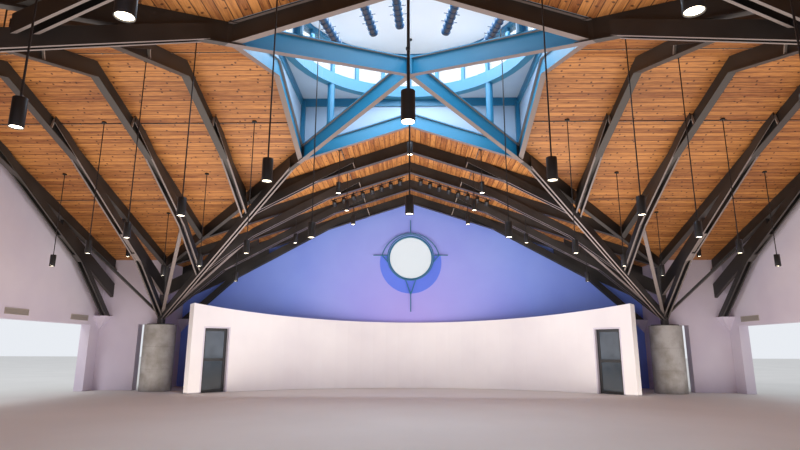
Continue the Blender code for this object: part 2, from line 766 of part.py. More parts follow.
def lantern_soffit():
    """The flat boards between the square frame and the ring."""
    low = FRAME_HIGH + FIT
    high = low + SOFFIT_T
    plate = box((-FRAME_HALF, -FRAME_HALF, low), (FRAME_HALF, FRAME_HALF, high))
    return cut(plate, cylinder(RING_OUT + FIT, low - SOFFIT_T, high + SOFFIT_T, sides=2 * SECTORS))


def drum_frame():
    """Mullions on the ring, and the head ring over them."""
    shapes = [tube(RING_OUT, RING_IN, DRUM_HEAD, DRUM_HIGH, 2 * SECTORS)]
    for index in range(SECTORS):
        bar = box((MULLION_IN, -MULLION_WIDTH / 2, DRUM_LOW),
                  (MULLION_IN + MULLION_DEPTH, MULLION_WIDTH / 2, DRUM_HEAD + HEAD_DEPTH / 2))
        turn = Matrix.Rotation(2 * pi * index / SECTORS, 3, "Z")
        bmesh.ops.rotate(bar, matrix=turn, verts=bar.verts)
        shapes.append(bar)
    return fused(shapes)


def drum_glass():
    """The ring of glass behind the mullions, in flat facets."""
    inner = MULLION_IN + MULLION_DEPTH + PANE_T / 2
    return tube(inner + PANE_T, inner, DRUM_LOW, DRUM_HEAD - FIT, SECTORS)


def lantern_ceiling():
    """The flat white ceiling of the drum."""
    low = DRUM_HIGH + FIT
    return cylinder(RING_OUT, low, low + CEILING_T, sides=2 * SECTORS)


def lantern_roof():
    """The low conical roof over the drum."""
    low = DRUM_HIGH + CEILING_T + 2 * FIT
    shape = cylinder(RING_OUT + LANTERN_ROOF_SET, low, low + LANTERN_ROOF_T, sides=2 * SECTORS)
    top = max(shape.faces, key=lambda face: face.calc_center_median().z)
    peak = bmesh.ops.poke(shape, faces=[top])["verts"]
    bmesh.ops.translate(shape, vec=(0, 0, LANTERN_ROOF_RISE), verts=peak)
    return shape


# Round window


def disc(radius, start, end):
    """A round bar along +Y about the window's middle."""
    return rod((0, start, WINDOW_HEIGHT), (0, end, WINDOW_HEIGHT), radius, 48)


def window_frame():
    """The window's steel lining."""
    start, end = GABLE_WALL - WINDOW_FRAME_LIP, GABLE_WALL + WINDOW_FRAME_DEPTH
    hole = disc(WINDOW_R - WINDOW_FRAME_WIDTH, start - WALL_T, end + WALL_T)
    return cut(disc(WINDOW_R - FIT, start, end), hole)


def window_glass():
    """The window's sheet."""
    middle = GABLE_WALL + WINDOW_FRAME_DEPTH / 2
    return disc(WINDOW_R - WINDOW_FRAME_WIDTH - FIT, middle, middle + GLASS_T)


def hoop(radius, height, sweep):
    """A round bar bent to an arc about a point of the ornament's plane, even about the top."""
    steps = round(8 * sweep)
    whole = sweep == 2 * pi
    middle = (0, HALO_PLANE, height)
    shape = bmesh.new()
    bmesh.ops.create_circle(shape, segments=8, radius=HALO_ROD_R,
                            matrix=Matrix.Translation((radius, HALO_PLANE, height)))
    bmesh.ops.spin(shape, geom=shape.verts[:] + shape.edges[:], cent=middle,
                   axis=(0, -1, 0), angle=sweep, steps=steps, use_merge=whole)
    bmesh.ops.remove_doubles(shape, verts=shape.verts, dist=WELD)
    bmesh.ops.holes_fill(shape, edges=[edge for edge in shape.edges if edge.is_boundary], sides=0)
    turn = Matrix.Rotation((sweep - pi) / 2, 3, "Y")
    bmesh.ops.rotate(shape, cent=middle, matrix=turn, verts=shape.verts)
    bmesh.ops.recalc_face_normals(shape, faces=shape.faces)
    return shape


def wall_cross():
    """Hoops round the window and a cross of thin bars, held off the wall on pins."""
    shapes = [hoop(RIM_R, WINDOW_HEIGHT, 2 * pi), hoop(HALO_R, HALO_MIDDLE, HALO_SWEEP)]
    low_top = -RIM_R - LOW_BAR_TOP
    top = HALO_R - HALO_DROP - HALO_ROD_R
    aside, along = RIM_R * sin(RIM_ANGLE), RIM_R * cos(RIM_ANGLE)
    near, far = RIM_R - HALO_ROD_R, HALO_END + SIDE_REACH
    bars = [((0, top), (0, top + TOP_REACH), True),
            ((0, low_top), (0, low_top - LOW_BAR_LENGTH), True)]
    for side in (1, -1):
        bars += [((near * side, BAR_RISE), (far * side, BAR_RISE), True),
                 ((HALO_END * side, BAR_RISE), (along * side, -aside), False),
                 ((aside * side, -along), (0, low_top - VEE_LENGTH), False)]
    for start, end, pinned in bars:
        ends = [(x, HALO_PLANE, WINDOW_HEIGHT + z) for x, z in (start, end)]
        shapes.append(rod(*ends, HALO_ROD_R, 8))
        if pinned:
            x, z = [(a + b) / 2 for a, b in zip(start, end)]
            shapes.append(rod((x, HALO_PLANE, WINDOW_HEIGHT + z),
                              (x, GABLE_WALL - FIT, WINDOW_HEIGHT + z), PIN_R, 8))
    return fused(shapes)


def ridge_pendant():
    """The cylinder light under the south arm's ridge, on its stem from the deck."""
    at = (0.0, -frame_line(PENDANT_BAY))
    top = PENDANT_HEIGHT + PENDANT_LENGTH
    return fused([cylinder(PENDANT_R, PENDANT_HEIGHT, top, at, 24),
                  cylinder(STEM_R, top - STEM_R, deck_soffit(STEM_R) - FIT, at, 12)])


clear_scene()
parts = bpy.data.collections.new("church_roof")
cutters = bpy.data.collections.new("cutters")
for collection in (parts, cutters):
    bpy.context.scene.collection.children.link(collection)

# One shape of each kind is turned into the four corners, or the four arms
for name, shape, finish in (("pier", pier(), "concrete"), ("tree", tree(), "dark_steel"),
                            ("valley_beam", outer_valley(), "dark_steel"),
                            ("corner_wall", corner_wall(), "plaster")):
    for quarter, corner in enumerate(CORNER_NAMES):
        make_object(name + "_" + corner, shape, finish, quarter)
for name, shape, finish in (("frame_1", inner_frame(1), "dark_steel"),
                            ("frame_2", inner_frame(2), "dark_steel"),
                            ("frame_3", inner_frame(3), "dark_steel"),
                            ("end_frame", end_frame(), "dark_steel"),
                            ("deck", deck(), "timber"),
                            ("roof_covering", roof_covering(), "roofing")):
    for quarter, arm in enumerate(FRAME_NAMES):
        make_object(name + "_" + arm, shape, finish, quarter)
for quarter, arm in enumerate(FRAME_NAMES):
    north = arm == "north"
    make_object("gable_wall_" + arm, gable_wall(not north), "blue_plaster" if north else "plaster",
                quarter)
make_object("screen_wall", screen_wall(), "plaster")
make_object("lantern_curb", crown(), "blue_steel")
make_object("lantern_frame", lantern_frame(), "blue_steel")
make_object("lantern_upstand", lantern_upstand(), "pale_board")
make_object("lantern_soffit", lantern_soffit(), "pale_board")
make_object("drum_frame", drum_frame(), "blue_steel")
make_object("drum_glass", drum_glass(), "glass")
make_object("lantern_ceiling", lantern_ceiling(), "white_board")
make_object("lantern_roof", lantern_roof(), "roofing")
make_object("round_window_frame", window_frame(), "blue_steel")
make_object("round_window_glass", window_glass(), "glass")
make_object("wall_cross", wall_cross(), "blue_steel")
make_object("ridge_pendant", ridge_pendant(), "black_metal")
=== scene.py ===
"""Looks of a cross-gabled church roof: finishes, small fittings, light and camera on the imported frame.

Metres, +Z up. The camera stands in the south arm and looks north, under the lantern. Each
sub-assembly is a class with its sizes as fields; each finish is a frozen dataclass.
"""
import logging
from collections.abc import Callable, Iterable, Sequence
from dataclasses import dataclass, field
from enum import Enum
from math import atan, cos, pi, radians

import bmesh
import bpy
from bpy.types import Material, MeshPolygon, Node, NodeSocket, Object
from mathutils import Matrix, Vector


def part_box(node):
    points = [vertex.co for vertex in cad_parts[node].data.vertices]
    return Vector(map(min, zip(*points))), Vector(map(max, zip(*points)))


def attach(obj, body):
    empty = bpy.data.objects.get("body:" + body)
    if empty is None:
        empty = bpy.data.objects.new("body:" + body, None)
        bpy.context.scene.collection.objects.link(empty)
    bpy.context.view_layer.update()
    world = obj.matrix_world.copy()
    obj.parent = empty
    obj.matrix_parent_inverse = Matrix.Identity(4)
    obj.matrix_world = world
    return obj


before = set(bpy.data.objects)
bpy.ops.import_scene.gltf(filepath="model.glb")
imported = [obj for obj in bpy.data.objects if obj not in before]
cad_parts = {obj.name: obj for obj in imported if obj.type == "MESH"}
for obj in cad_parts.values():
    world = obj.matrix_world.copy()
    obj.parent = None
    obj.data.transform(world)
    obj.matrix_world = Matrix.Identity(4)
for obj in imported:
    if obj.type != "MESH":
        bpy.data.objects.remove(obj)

Pair = tuple[float, float]
Triple = tuple[float, float, float]

LOG = logging.getLogger("church_roof")
BODY = "root"
MM = 1000                    # millimetres in a metre

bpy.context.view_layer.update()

# The roof's own lines, as the CAD source gives them
RIDGE_SOFFIT = 6.767         # rafter underside on the ridge
PITCH = 0.3293               # fall per metre away from a ridge
SLOPE = atan(PITCH)
RAFTER_DEPTH = 0.36
DECK_T = 0.06
ROOF_T = 0.14
HALF_OPENING = 2.70
FRAME_SPACING = 1.871
EAVE_WALL_IN = 8.52
GABLE_WALL_IN = 10.50
WALL_T = 0.30
OVERHANG = 0.35              # of the roof beyond the walls
WINDOW_MIDDLE = Vector((0.0, GABLE_WALL_IN, 4.72))

SUNK = 0.01                  # how far a stem's end goes into what carries it
BOTH_SIDES = (-1, 1)
NEARLY = 0.9                 # of a normal's length, in a face that looks one way
BEVEL_OVER = radians(40)     # edges sharper than this are bevelled
SMOOTH_UNDER = radians(35)   # edges blunter than this are shaded smooth


class Arm(Enum):
    """The four arms, by the quarter turns from the north one."""

    NORTH = 0
    WEST = 1
    SOUTH = 2
    EAST = 3

    @property
    def turn(self) -> Matrix:
        """The turn about the crossing from the north arm to this one."""
        return Matrix.Rotation(self.value * pi / 2, 4, "Z")


def frame_line(number: float) -> float:
    """Distance of a roof frame's plane from the crossing; 0 is the lantern curb."""
    return HALF_OPENING + number * FRAME_SPACING


def deck_soffit(distance: float) -> float:
    """Height of the deck's underside at a distance from the ridge."""
    return RIDGE_SOFFIT - PITCH * distance + RAFTER_DEPTH


def roof_top(distance: float) -> float:
    """Height of the roof covering's top at a distance from the ridge."""
    return deck_soffit(distance) + DECK_T + ROOF_T


def lantern_ceiling() -> float:
    """Height of the ends of stems that hang from the lantern's ceiling."""
    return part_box("lantern_ceiling")[0][2] + SUNK


# Materials


def linear(hex_colour: str) -> tuple[float, float, float, float]:
    """An sRGB hex colour as linear values, by the sRGB curve.

    Args:
        hex_colour: six hex digits after a hash.

    Returns:
        Red, green, blue and alpha, linear.
    """
    digits = hex_colour.lstrip("#")
    parts = [int(digits[at:at + 2], 16) / 255 for at in (0, 2, 4)]
    made = [c / 12.92 if c <= 0.04045 else ((c + 0.055) / 1.055) ** 2.4 for c in parts]
    return (*made, 1.0)


class Look:
    """A material while its nodes are drawn."""

    def __init__(self, name: str) -> None:
        """Start the material with its shader and its coordinates.

        Args:
            name: the material's name.
        """
        self.material = bpy.data.materials.new(name)
        self.material.use_nodes = True
        self.tree = self.material.node_tree
        self.surface = self.tree.nodes["Principled BSDF"].inputs
        spot = self.add("TexCoord")
        self.at, self.normal = spot.outputs["Object"], spot.outputs["Normal"]

    def add(self, kind: str, *inputs: object, **settings: object) -> Node:
        """Add a node with its settings, values and links.

        Args:
            kind: the node's type name after the word ShaderNode.
            *inputs: what its usable sockets take in turn, as `feed` has it.
            **settings: the node's own settings.

        Returns:
            The new node.
        """
        node = self.tree.nodes.new("ShaderNode" + kind)
        for key, value in settings.items():
            setattr(node, key, value)
        sockets = [socket for socket in node.inputs if socket.enabled]
        for socket, value in zip(sockets, inputs):
            self.feed(socket, value)
        return node

    def feed(self, socket: NodeSocket | str, value: object) -> None:
        """Give a socket its value or its link.

        Args:
            socket: the socket, or the name of one of the shader's.
            value: a number, a vector, a hex colour, an output, or a node, which gives its
                first usable output. None leaves the socket as it is.
        """
        if isinstance(socket, str):
            socket = self.surface[socket]
        if isinstance(value, Node):
            value = next(output for output in value.outputs if output.enabled)
        if isinstance(value, NodeSocket):
            self.tree.links.new(value, socket)
        elif value is not None:
            socket.default_value = linear(value) if isinstance(value, str) else value

    def cover(self, *layers: tuple[Node, str | Node]) -> None:
        """Lay colours over the surface's own, one on the other.

        Args:
            *layers: for each, the share that it covers, and its colour.
        """
        base = self.surface["Base Color"]
        for share, colour in layers:
            under = base.links[0].from_socket if base.is_linked else tuple(base.default_value)
            self.feed(base, self.add("Mix", share, under, colour, data_type="RGBA"))

    def clouds(self, size_mm: float, detail: float, *span: float) -> Node:
        """Soft blotches: noise, with its middle values spread to its ends.

        Args:
            size_mm: a blotch's size in millimetres.
            detail: how much finer noise lies on it.
            *span: the noise values that become the ends, then the ends where not 0 and 1.

        Returns:
            The node that gives them.
        """
        noise = self.add("TexNoise", self.at, MM / size_mm, detail)
        return self.add("MapRange", noise, *span)

    def inward(self) -> Node:
        """How far a face looks at the part's upright axis.

        Returns:
            The node that gives 1 straight at the axis and -1 straight away from it.
        """
        flat = self.add("VectorMath", self.at, (-1.0, -1.0, 0.0), operation="MULTIPLY")
        way = self.add("VectorMath", flat, operation="NORMALIZE")
        return self.add("VectorMath", self.normal, way, operation="DOT_PRODUCT")


@dataclass(frozen=True)
class Finish:
    """A surface finish. Subclasses draw their pattern in `dress`."""

    name: str
    colour: str
    roughness: float
    metallic: float = 0.0
    span: Pair = (0.35, 0.7)         # noise values between which its clouds change
    relief: float = 0.5              # how strongly its bump shows

    def build(self) -> Material:
        """Make the material.

        Returns:
            The material with its nodes.
        """
        look = Look(self.name)
        look.material.diffuse_color = linear(self.colour)
        look.feed("Base Color", self.colour)
        look.feed("Roughness", self.roughness)
        look.feed("Metallic", self.metallic)
        self.dress(look)
        return look.material

    def dress(self, look: Look) -> None:
        """Draw the finish's pattern. A plain finish has none."""


@dataclass(frozen=True)
class PaintedSteel(Finish):
    """Rolled steel, shop-painted: a satin coat, a little uneven, its undersides drawn paler as a painted
    highlight.
    """

    # Painted highlight: the undersides are drawn paler, as light from below would show them
    under: str = "#8A7C78"
    underlight_share: float = 0.8
    underlight_span: Pair = (-0.55, -0.9)     # normal's z where it starts and is full
    dust: str = "#6F6862"
    cloud: float = 0.14              # share of the dust where it is thickest
    cloud_mm: float = 900.0
    dulling: float = 0.12            # added to the roughness there
    mottle_mm: float = 6.0           # coarser than a real coat's, to show
    mottle_depth_mm: float = 0.35

    def dress(self, look: Look) -> None:
        """Draw the cloudy coat, the painted highlight on the undersides and the coat's fine texture.

        Args:
            look: the material.
        """
        cloud = look.clouds(self.cloud_mm, 6.0, *self.span, 0.0, self.cloud)
        # Painted highlight: faces that look down are drawn paler, as if lit from below
        up = look.add("SeparateXYZ", look.normal).outputs["Z"]
        below = look.add("MapRange", up, *self.underlight_span, 0.0, self.underlight_share)
        look.cover((cloud, self.dust), (below, self.under))
        look.feed("Roughness", look.add("MapRange", cloud, 0.0, self.cloud, self.roughness,
                                        self.roughness + self.dulling))
        mottle = look.add("TexNoise", look.at, MM / self.mottle_mm, 2.0)
        look.feed("Normal", look.add("Bump", self.relief, self.mottle_depth_mm / MM, None,
                                     mottle))


@dataclass(frozen=True)
class TwoToneLanternLitSteel(PaintedSteel):
    """Painted steel: blue paint inside the lantern's opening, dark outside it; faces that look towards
    the lantern take the blue as painted light from its daylight.
    """

    inner: str = "#1A779C"
    inside: float = HALF_OPENING - 0.09      # half the width of the blue square
    fade: float = 0.02                       # width of the change at its edge
    lantern_light_span: Pair = (0.3, 0.6)
    above_span: Pair = (-0.75, -0.55)        # normal's z, past the undersides

    def dress(self, look: Look) -> None:
        """Draw the dark coat, with the blue paint in the opening but for the undersides, and the blue as
        painted light on faces towards the lantern.

        Args:
            look: the material.
        """
        super().dress(look)
        # Painted light: faces that look towards the lantern's axis take the blue of its daylight
        facing = look.add("MapRange", look.inward(), *self.lantern_light_span)
        axes = look.add("SeparateXYZ", look.at).outputs
        sides = [look.add("Math", axes[axis], operation="ABSOLUTE") for axis in ("X", "Y")]
        off = look.add("Math", *sides, operation="MAXIMUM")
        within = look.add("MapRange", off, self.inside, self.inside - self.fade)
        up = look.add("SeparateXYZ", look.normal).outputs["Z"]
        above = look.add("MapRange", up, *self.above_span)
        webs = look.add("Math", within, above, operation="MULTIPLY")
        look.cover((look.add("Math", facing, webs, operation="MAXIMUM"), self.inner))


@dataclass(frozen=True)
class DeckBoards(Finish):
    """Tongue-and-groove pine or cedar boards, oiled: each of its own tone, with grain and knots."""

    across_angle: float = 0.0        # turn from the object's x to the boards' width
    board_mm: float = 140.0
    groove_mm: float = 8.0           # wider than the real one, to show from the floor
    pale: str = "#C8884A"
    dark: str = "#7F4722"
    groove: str = "#4A2610"
    knot: str = "#4F2812"
    knot_every_mm: float = 480.0
    knot_mm: float = 38.0
    streak_mm: float = 9.0           # coarser than real grain, to show
    stretch: float = 0.04            # of the grain, along against across the boards
    shift: float = 37.0              # most that a board's grain is moved along, in metres
    own_tone: float = 0.3            # most that a board is paler or darker than the rest
    streak_span: Pair = (0.72, 1.28)
    knot_share: float = 0.95
    depth_mm: float = 2.5
    relief: float = 0.7

    def dress(self, look: Look) -> None:
        """Draw boards, joints, grain and knots in a frame whose x runs across the boards.

        Args:
            look: the material.
        """
        turned = look.add("Mapping", look.at, None, (0, 0, self.across_angle))
        axes = look.add("SeparateXYZ", turned).outputs
        width = self.board_mm / MM
        count = look.add("Math", axes["X"], width, operation="DIVIDE")
        board = look.add("Math", count, operation="FLOOR")
        own = look.add("TexWhiteNoise", board, noise_dimensions="1D")
        shift = look.add("Math", own, self.shift, operation="MULTIPLY")
        along = look.add("Math", axes["Y"], shift, operation="ADD")
        edge = look.add("Math", axes["X"], width / 2, operation="PINGPONG")
        # A joint is darkest up to half a groove from its middle, and fades out past a whole one
        groove = self.groove_mm / MM
        joint = look.add("MapRange", edge, groove / 2, groove / 0.9, 1.0, 0.0)
        tone = look.add("MapRange", own, 0.0, 1.0, -self.own_tone, self.own_tone)
        share = look.add("Math", self.grain(look, axes["X"], along), tone, operation="ADD",
                         use_clamp=True)
        wood = look.add("Mix", share, self.pale, self.dark, data_type="RGBA")
        look.feed("Base Color", wood)
        look.cover((self.knots(look, count, along, width), self.knot), (joint, self.groove))
        rise = look.add("Math", share, joint, operation="SUBTRACT")
        look.feed("Normal", look.add("Bump", self.relief, self.depth_mm / MM, None, rise))

    def grain(self, look: Look, across: NodeSocket, along: Node) -> Node:
        """Long streaks of early and late wood.

        Args:
            look: the material.
            across: metres across the boards.
            along: metres along the boards, moved by each board's own amount.

        Returns:
            The node that gives the streaks, from 0 to 1.
        """
        slow = look.add("Math", along, self.stretch, operation="MULTIPLY")
        spot = look.add("CombineXYZ", across, slow)
        fine = look.add("TexNoise", spot, MM / self.streak_mm, 4.0)
        wide = look.add("TexNoise", spot, MM / (self.streak_mm * 5), 2.0)
        both = look.add("Math", fine, wide, operation="ADD")
        return look.add("MapRange", both, *self.streak_span)

    def knots(self, look: Look, count: Node, along: Node, width: float) -> Node:
        """Round knots, about one in each board's stretch of `knot_every_mm`.

        Args:
            look: the material.
            count: boards counted across.
            along: metres along the boards.
            width: a board's width in metres.

        Returns:
            The node that gives nearly 1 in a knot and 0 outside.
        """
        every = self.knot_every_mm / MM
        steps = look.add("Math", along, every, operation="DIVIDE")
        spot = look.add("CombineXYZ", count, steps)
        cell = look.add("TexVoronoi", spot, 1.0, voronoi_dimensions="2D")
        away = look.add("VectorMath", cell.outputs["Position"], spot, operation="SUBTRACT")
        real = look.add("VectorMath", away, (width, every, 0.0), operation="MULTIPLY")
        far = look.add("VectorMath", real, operation="LENGTH")
        # A knot is darkest inside and fades out past its radius, so that its rim looks soft
        knot = self.knot_mm / MM
        return look.add("MapRange", far, knot / 2.6, knot / 1.3, self.knot_share, 0.0)


@dataclass(frozen=True)
class Plaster(Finish):
    """Painted plasterboard: almost flat, with a faint roller texture and slow unevenness.

    A wall that also stands outdoors names the colour of the render on its outer faces.
    """

    shade: str = "#C9C2CC"
    cloud_mm: float = 2600.0
    nap_mm: float = 14.0             # coarser than a real roller's, to show
    nap_depth_mm: float = 1.2
    render: str = ""
    stain: str = "#B1AA9F"           # on the render
    stain_mm: float = 900.0
    stain_span: Pair = (0.3, 0.75)
    outer_span: Pair = (-0.3, -0.6)  # values of `inward` where the render starts
    relief: float = 0.4

    def dress(self, look: Look) -> None:
        """Draw slow clouds of shade, the outer render and the roller's nap.

        Args:
            look: the material.
        """
        look.cover((look.clouds(self.cloud_mm, 4.0, *self.span), self.shade))
        self.lay_painted_light(look)
        if self.render:
            stains = look.clouds(self.stain_mm, 3.0, *self.stain_span)
            weathered = look.add("Mix", stains, self.render, self.stain, data_type="RGBA")
            look.cover((look.add("MapRange", look.inward(), *self.outer_span), weathered))
        nap = look.add("TexNoise", look.at, MM / self.nap_mm, 4.0)
        look.feed("Normal", look.add("Bump", self.relief, self.nap_depth_mm / MM, None, nap))

    def lay_painted_light(self, look: Look) -> None:
        """Lay painted light on the coat; a plain plaster has none."""


@dataclass(frozen=True)
class GlowPaintedPlaster(Plaster):
    """Plaster painted blue, with painted light over it: a slow violet pool low in the middle, deeper
    blue towards the ends.
    """

    # Painted light: a violet pool of light low in the middle of the wall
    painted_glow: str = "#AC9BE0"
    painted_glow_z: float = 2.2
    painted_glow_share: float = 0.75
    painted_glow_span: Pair = (4.6, 0.6)     # distances where it starts and is full
    # Painted light: deeper blue towards the wall's ends
    edge: str = "#7190F4"
    painted_end_span: Pair = (3.0, 9.0)     # from the middle of the wall
    painted_end_share: float = 0.8

    def lay_painted_light(self, look: Look) -> None:
        """Lay painted light: bluer at the wall's ends, and a violet pool at the middle of its foot.

        Args:
            look: the material.
        """
        across = look.add("SeparateXYZ", look.at).outputs["X"]
        side = look.add("Math", across, operation="ABSOLUTE")
        ends = look.add("MapRange", side, *self.painted_end_span, 0.0, self.painted_end_share)
        # Painted light: the violet pool round a spot low in the middle of the wall
        foot = (0.0, GABLE_WALL_IN, self.painted_glow_z)
        off = look.add("VectorMath", look.at, foot, operation="DISTANCE")
        low = look.add("MapRange", off, *self.painted_glow_span, 0.0, self.painted_glow_share)
        look.cover((ends, self.edge), (low, self.painted_glow))


@dataclass(frozen=True)
class Concrete(Finish):
    """Cast concrete, smooth from a round form: blotches, pinholes and a faint form ring."""

    shade: str = "#86827B"
    mark: str = "#5F5B55"            # in pinholes and rings
    span: Pair = (0.35, 0.68)
    blotch_mm: float = 380.0
    pore_mm: float = 34.0            # between pinholes
    pore_span: Pair = (0.06, 0.12)   # a hole's core and rim, against that
    lift_mm: float = 700.0
    ring_span: Pair = (0.002, 0.006)  # metres from the joint of two lifts
    ring_share: float = 0.5
    fine_mm: float = 9.0
    depth_mm: float = 1.5

    def dress(self, look: Look) -> None:
        """Draw blotches, pinholes and the rings between lifts of the form.

        Args:
            look: the material.
        """
        cells = look.add("TexVoronoi", look.at, MM / self.pore_mm)
        pores = look.add("MapRange", cells, *self.pore_span, 1.0, 0.0)
        up = look.add("SeparateXYZ", look.at).outputs["Z"]
        lift = look.add("Math", up, self.lift_mm / MM / 2, operation="PINGPONG")
        ring = look.add("MapRange", lift, *self.ring_span, self.ring_share, 0.0)
        marks = look.add("Math", pores, ring, operation="MAXIMUM")
        blotch = look.clouds(self.blotch_mm, 8.0, *self.span)
        look.cover((blotch, self.shade), (marks, self.mark))
        fine = look.add("TexNoise", look.at, MM / self.fine_mm, 5.0)
        rise = look.add("Math", fine, marks, operation="SUBTRACT")
        look.feed("Normal", look.add("Bump", self.relief, self.depth_mm / MM, None, rise))


@dataclass(frozen=True)
class SheetMetal(Finish):
    """Pre-weathered zinc sheet for the weather side: soft grey patches with a dull gloss."""

    shade: str = "#7C8387"
    patch_mm: float = 700.0
    dulling: float = 0.15            # added to the roughness of a patch
    wave_mm: float = 320.0
    wave_depth_mm: float = 3.0

    def dress(self, look: Look) -> None:
        """Draw patches of patina and slight waves of the sheet.

        Args:
            look: the material.
        """
        patch = look.clouds(self.patch_mm, 5.0, *self.span)
        look.cover((patch, self.shade))
        look.feed("Roughness", look.add("MapRange", patch, 0.0, 1.0, self.roughness,
                                        self.roughness + self.dulling))
        waves = look.add("TexNoise", look.at, MM / self.wave_mm, 1.0)
        look.feed("Normal", look.add("Bump", self.relief, self.wave_depth_mm / MM, None, waves))


@dataclass(frozen=True)
class ClearGlass(Finish):
    """Clear float glass: mostly see-through, with a pale tint and a sharp gloss."""

    opacity: float = 0.14
    ior: float = 1.52
    dirt: str = "#E9F3F6"
    dirt_mm: float = 700.0
    span: Pair = (0.3, 0.8)

    def dress(self, look: Look) -> None:
        """Draw a faint cloud of dirt on a mostly see-through sheet.

        Args:
            look: the material.
        """
        look.feed("Alpha", self.opacity)
        look.feed("IOR", self.ior)
        look.cover((look.clouds(self.dirt_mm, 3.0, *self.span), self.dirt))


@dataclass(frozen=True)
class DarkGlass(Finish):
    """Tinted door glass, drawn near black as painted shade for the dark room behind it, with faint
    wiping streaks.
    """

    shade: str = "#2A3744"
    shade_mm: float = 1400.0
    streak_mm: float = 260.0
    streak_span: Pair = (0.4, 0.7)
    dulling: float = 0.12            # added to the roughness of a streak

    def dress(self, look: Look) -> None:
        """Draw a slow change of depth, and streaks that dull the gloss a little.

        Args:
            look: the material.
        """
        look.cover((look.clouds(self.shade_mm, 2.0, *self.span), self.shade))
        look.feed("Roughness", look.clouds(self.streak_mm, 6.0, *self.streak_span,
                                           self.roughness, self.roughness + self.dulling))


@dataclass(frozen=True)
class Lit(Finish):
    """The lit face of a lamp: a warm white opal lens."""

    power: float = 6.0
    warm: str = "#FFE9C4"
    cloud_mm: float = 60.0
    span: Pair = (0.3, 0.7)

    def dress(self, look: Look) -> None:
        """Draw the lens's glow, a little uneven.

        Args:
            look: the material.
        """
        cloud = look.clouds(self.cloud_mm, 2.0, *self.span)
        look.feed("Emission Color",
                  look.add("Mix", cloud, self.colour, self.warm, data_type="RGBA"))
        look.feed("Emission Strength", self.power)


class Palette:
    """All finishes of the part, made once each."""

    def __init__(self) -> None:
        """Set up the finishes; a material is made when it is first asked for."""
        self.finishes: dict[str, Finish] = {item.name: item for item in (
            # Shop paint: dark bronze on trees and roof frames, a satin sheen with dusty clouds; each
            # steel paint's `under` colour is a painted highlight on its undersides
            PaintedSteel("steel_bronze_paint", "#1F1D1D", 0.42),
            # The rafters' copy of the same paint, with a dimmer painted highlight on the undersides
            PaintedSteel("steel_bronze_paint_rafters", "#1B1A1A", 0.45, under="#57504C",
                         underlight_share=0.55),
            # Powder coat on lamp cases: near black, an even satin
            PaintedSteel("steel_black_paint", "#141416", 0.38, under="#2A292B", cloud=0.06),
            # Primer-grey paint on stiffeners and grilles: pale and dull
            PaintedSteel("steel_grey_paint", "#ABA29B", 0.5, under="#B4AAA2"),
            # Enamel on the lantern's steel and its lights: blue with a clear gloss
            PaintedSteel("steel_blue_paint", "#196E93", 0.38, under="#3F7C98", cloud=0.08),
            PaintedSteel("steel_blue_dark_paint", "#1B4E74", 0.4, under="#3A2F33", cloud=0.08),
            # Lantern curb: blue paint in the opening, and blue painted light on faces towards the
            # lantern
            TwoToneLanternLitSteel("steel_two_tone_paint", "#2A2725", 0.42),
            # Oiled softwood: warm streaks, a soft sheen, and knots as dark dots
            DeckBoards("pine_boards_along_y", "#B5662F", 0.5),
            DeckBoards("pine_boards_along_x", "#B5662F", 0.5, across_angle=pi / 2),
            # Emulsion paint on plaster: matt, even and soft in its shading
            Plaster("plaster_pale_lavender", "#DAD2DE", 0.9, shade="#C8BED0",
                    render="#BDB6AA"),
            Plaster("plaster_white", "#E9E5E4", 0.9, shade="#DCD7D9"),
            # The north wall's plaster carries painted light: a violet pool low in the middle, bluer ends
            GlowPaintedPlaster("plaster_periwinkle", "#93AAF6", 0.9, shade="#869BF0",
                          render="#BDB6AA"),
            # Deep blue for the painted shade disc on the north wall
            Plaster("plaster_deep_periwinkle", "#6683EE", 0.9, shade="#5C77E2"),
            # Door glass and lacquered door frames: a deep gloss beside a pale half-gloss
            # The door glass is near black as painted shade for the dark room behind it
            DarkGlass("door_dark_glazing", "#16202A", 0.1),
            Plaster("door_pale_lacquer", "#CFC9D2", 0.5, shade="#C2BBC8", cloud_mm=900.0,
                    nap_mm=5.0),
            # Painted board in the lantern: matt, with a faint cool unevenness
            Plaster("board_pale_blue", "#A9BED2", 0.8, shade="#93AAC2"),
            Plaster("board_white", "#ECEEF0", 0.85, shade="#DFE3E8"),
            # Mineral, metal and glass: dull and pitted; grey with a cold gloss; clear and sharp
            Concrete("cast_concrete", "#A8A5A4", 0.82),
            SheetMetal("zinc_sheet", "#5F666A", 0.38, 0.85),
            ClearGlass("float_glass", "#D5E8EE", 0.04),
            # Opal acrylic: a bright, warm and even glow
            Lit("opal_lens", "#FFF4E0", 0.4, power=9.0),
        )}
        self.made: dict[str, Material] = {}

    def __getitem__(self, name: str) -> Material:
        """The material of a finish.

        Args:
            name: the finish's name.

        Returns:
            The material, made at the first call.
        """
        if name not in self.made:
            self.made[name] = self.finishes[name].build()
        return self.made[name]


# Modelling


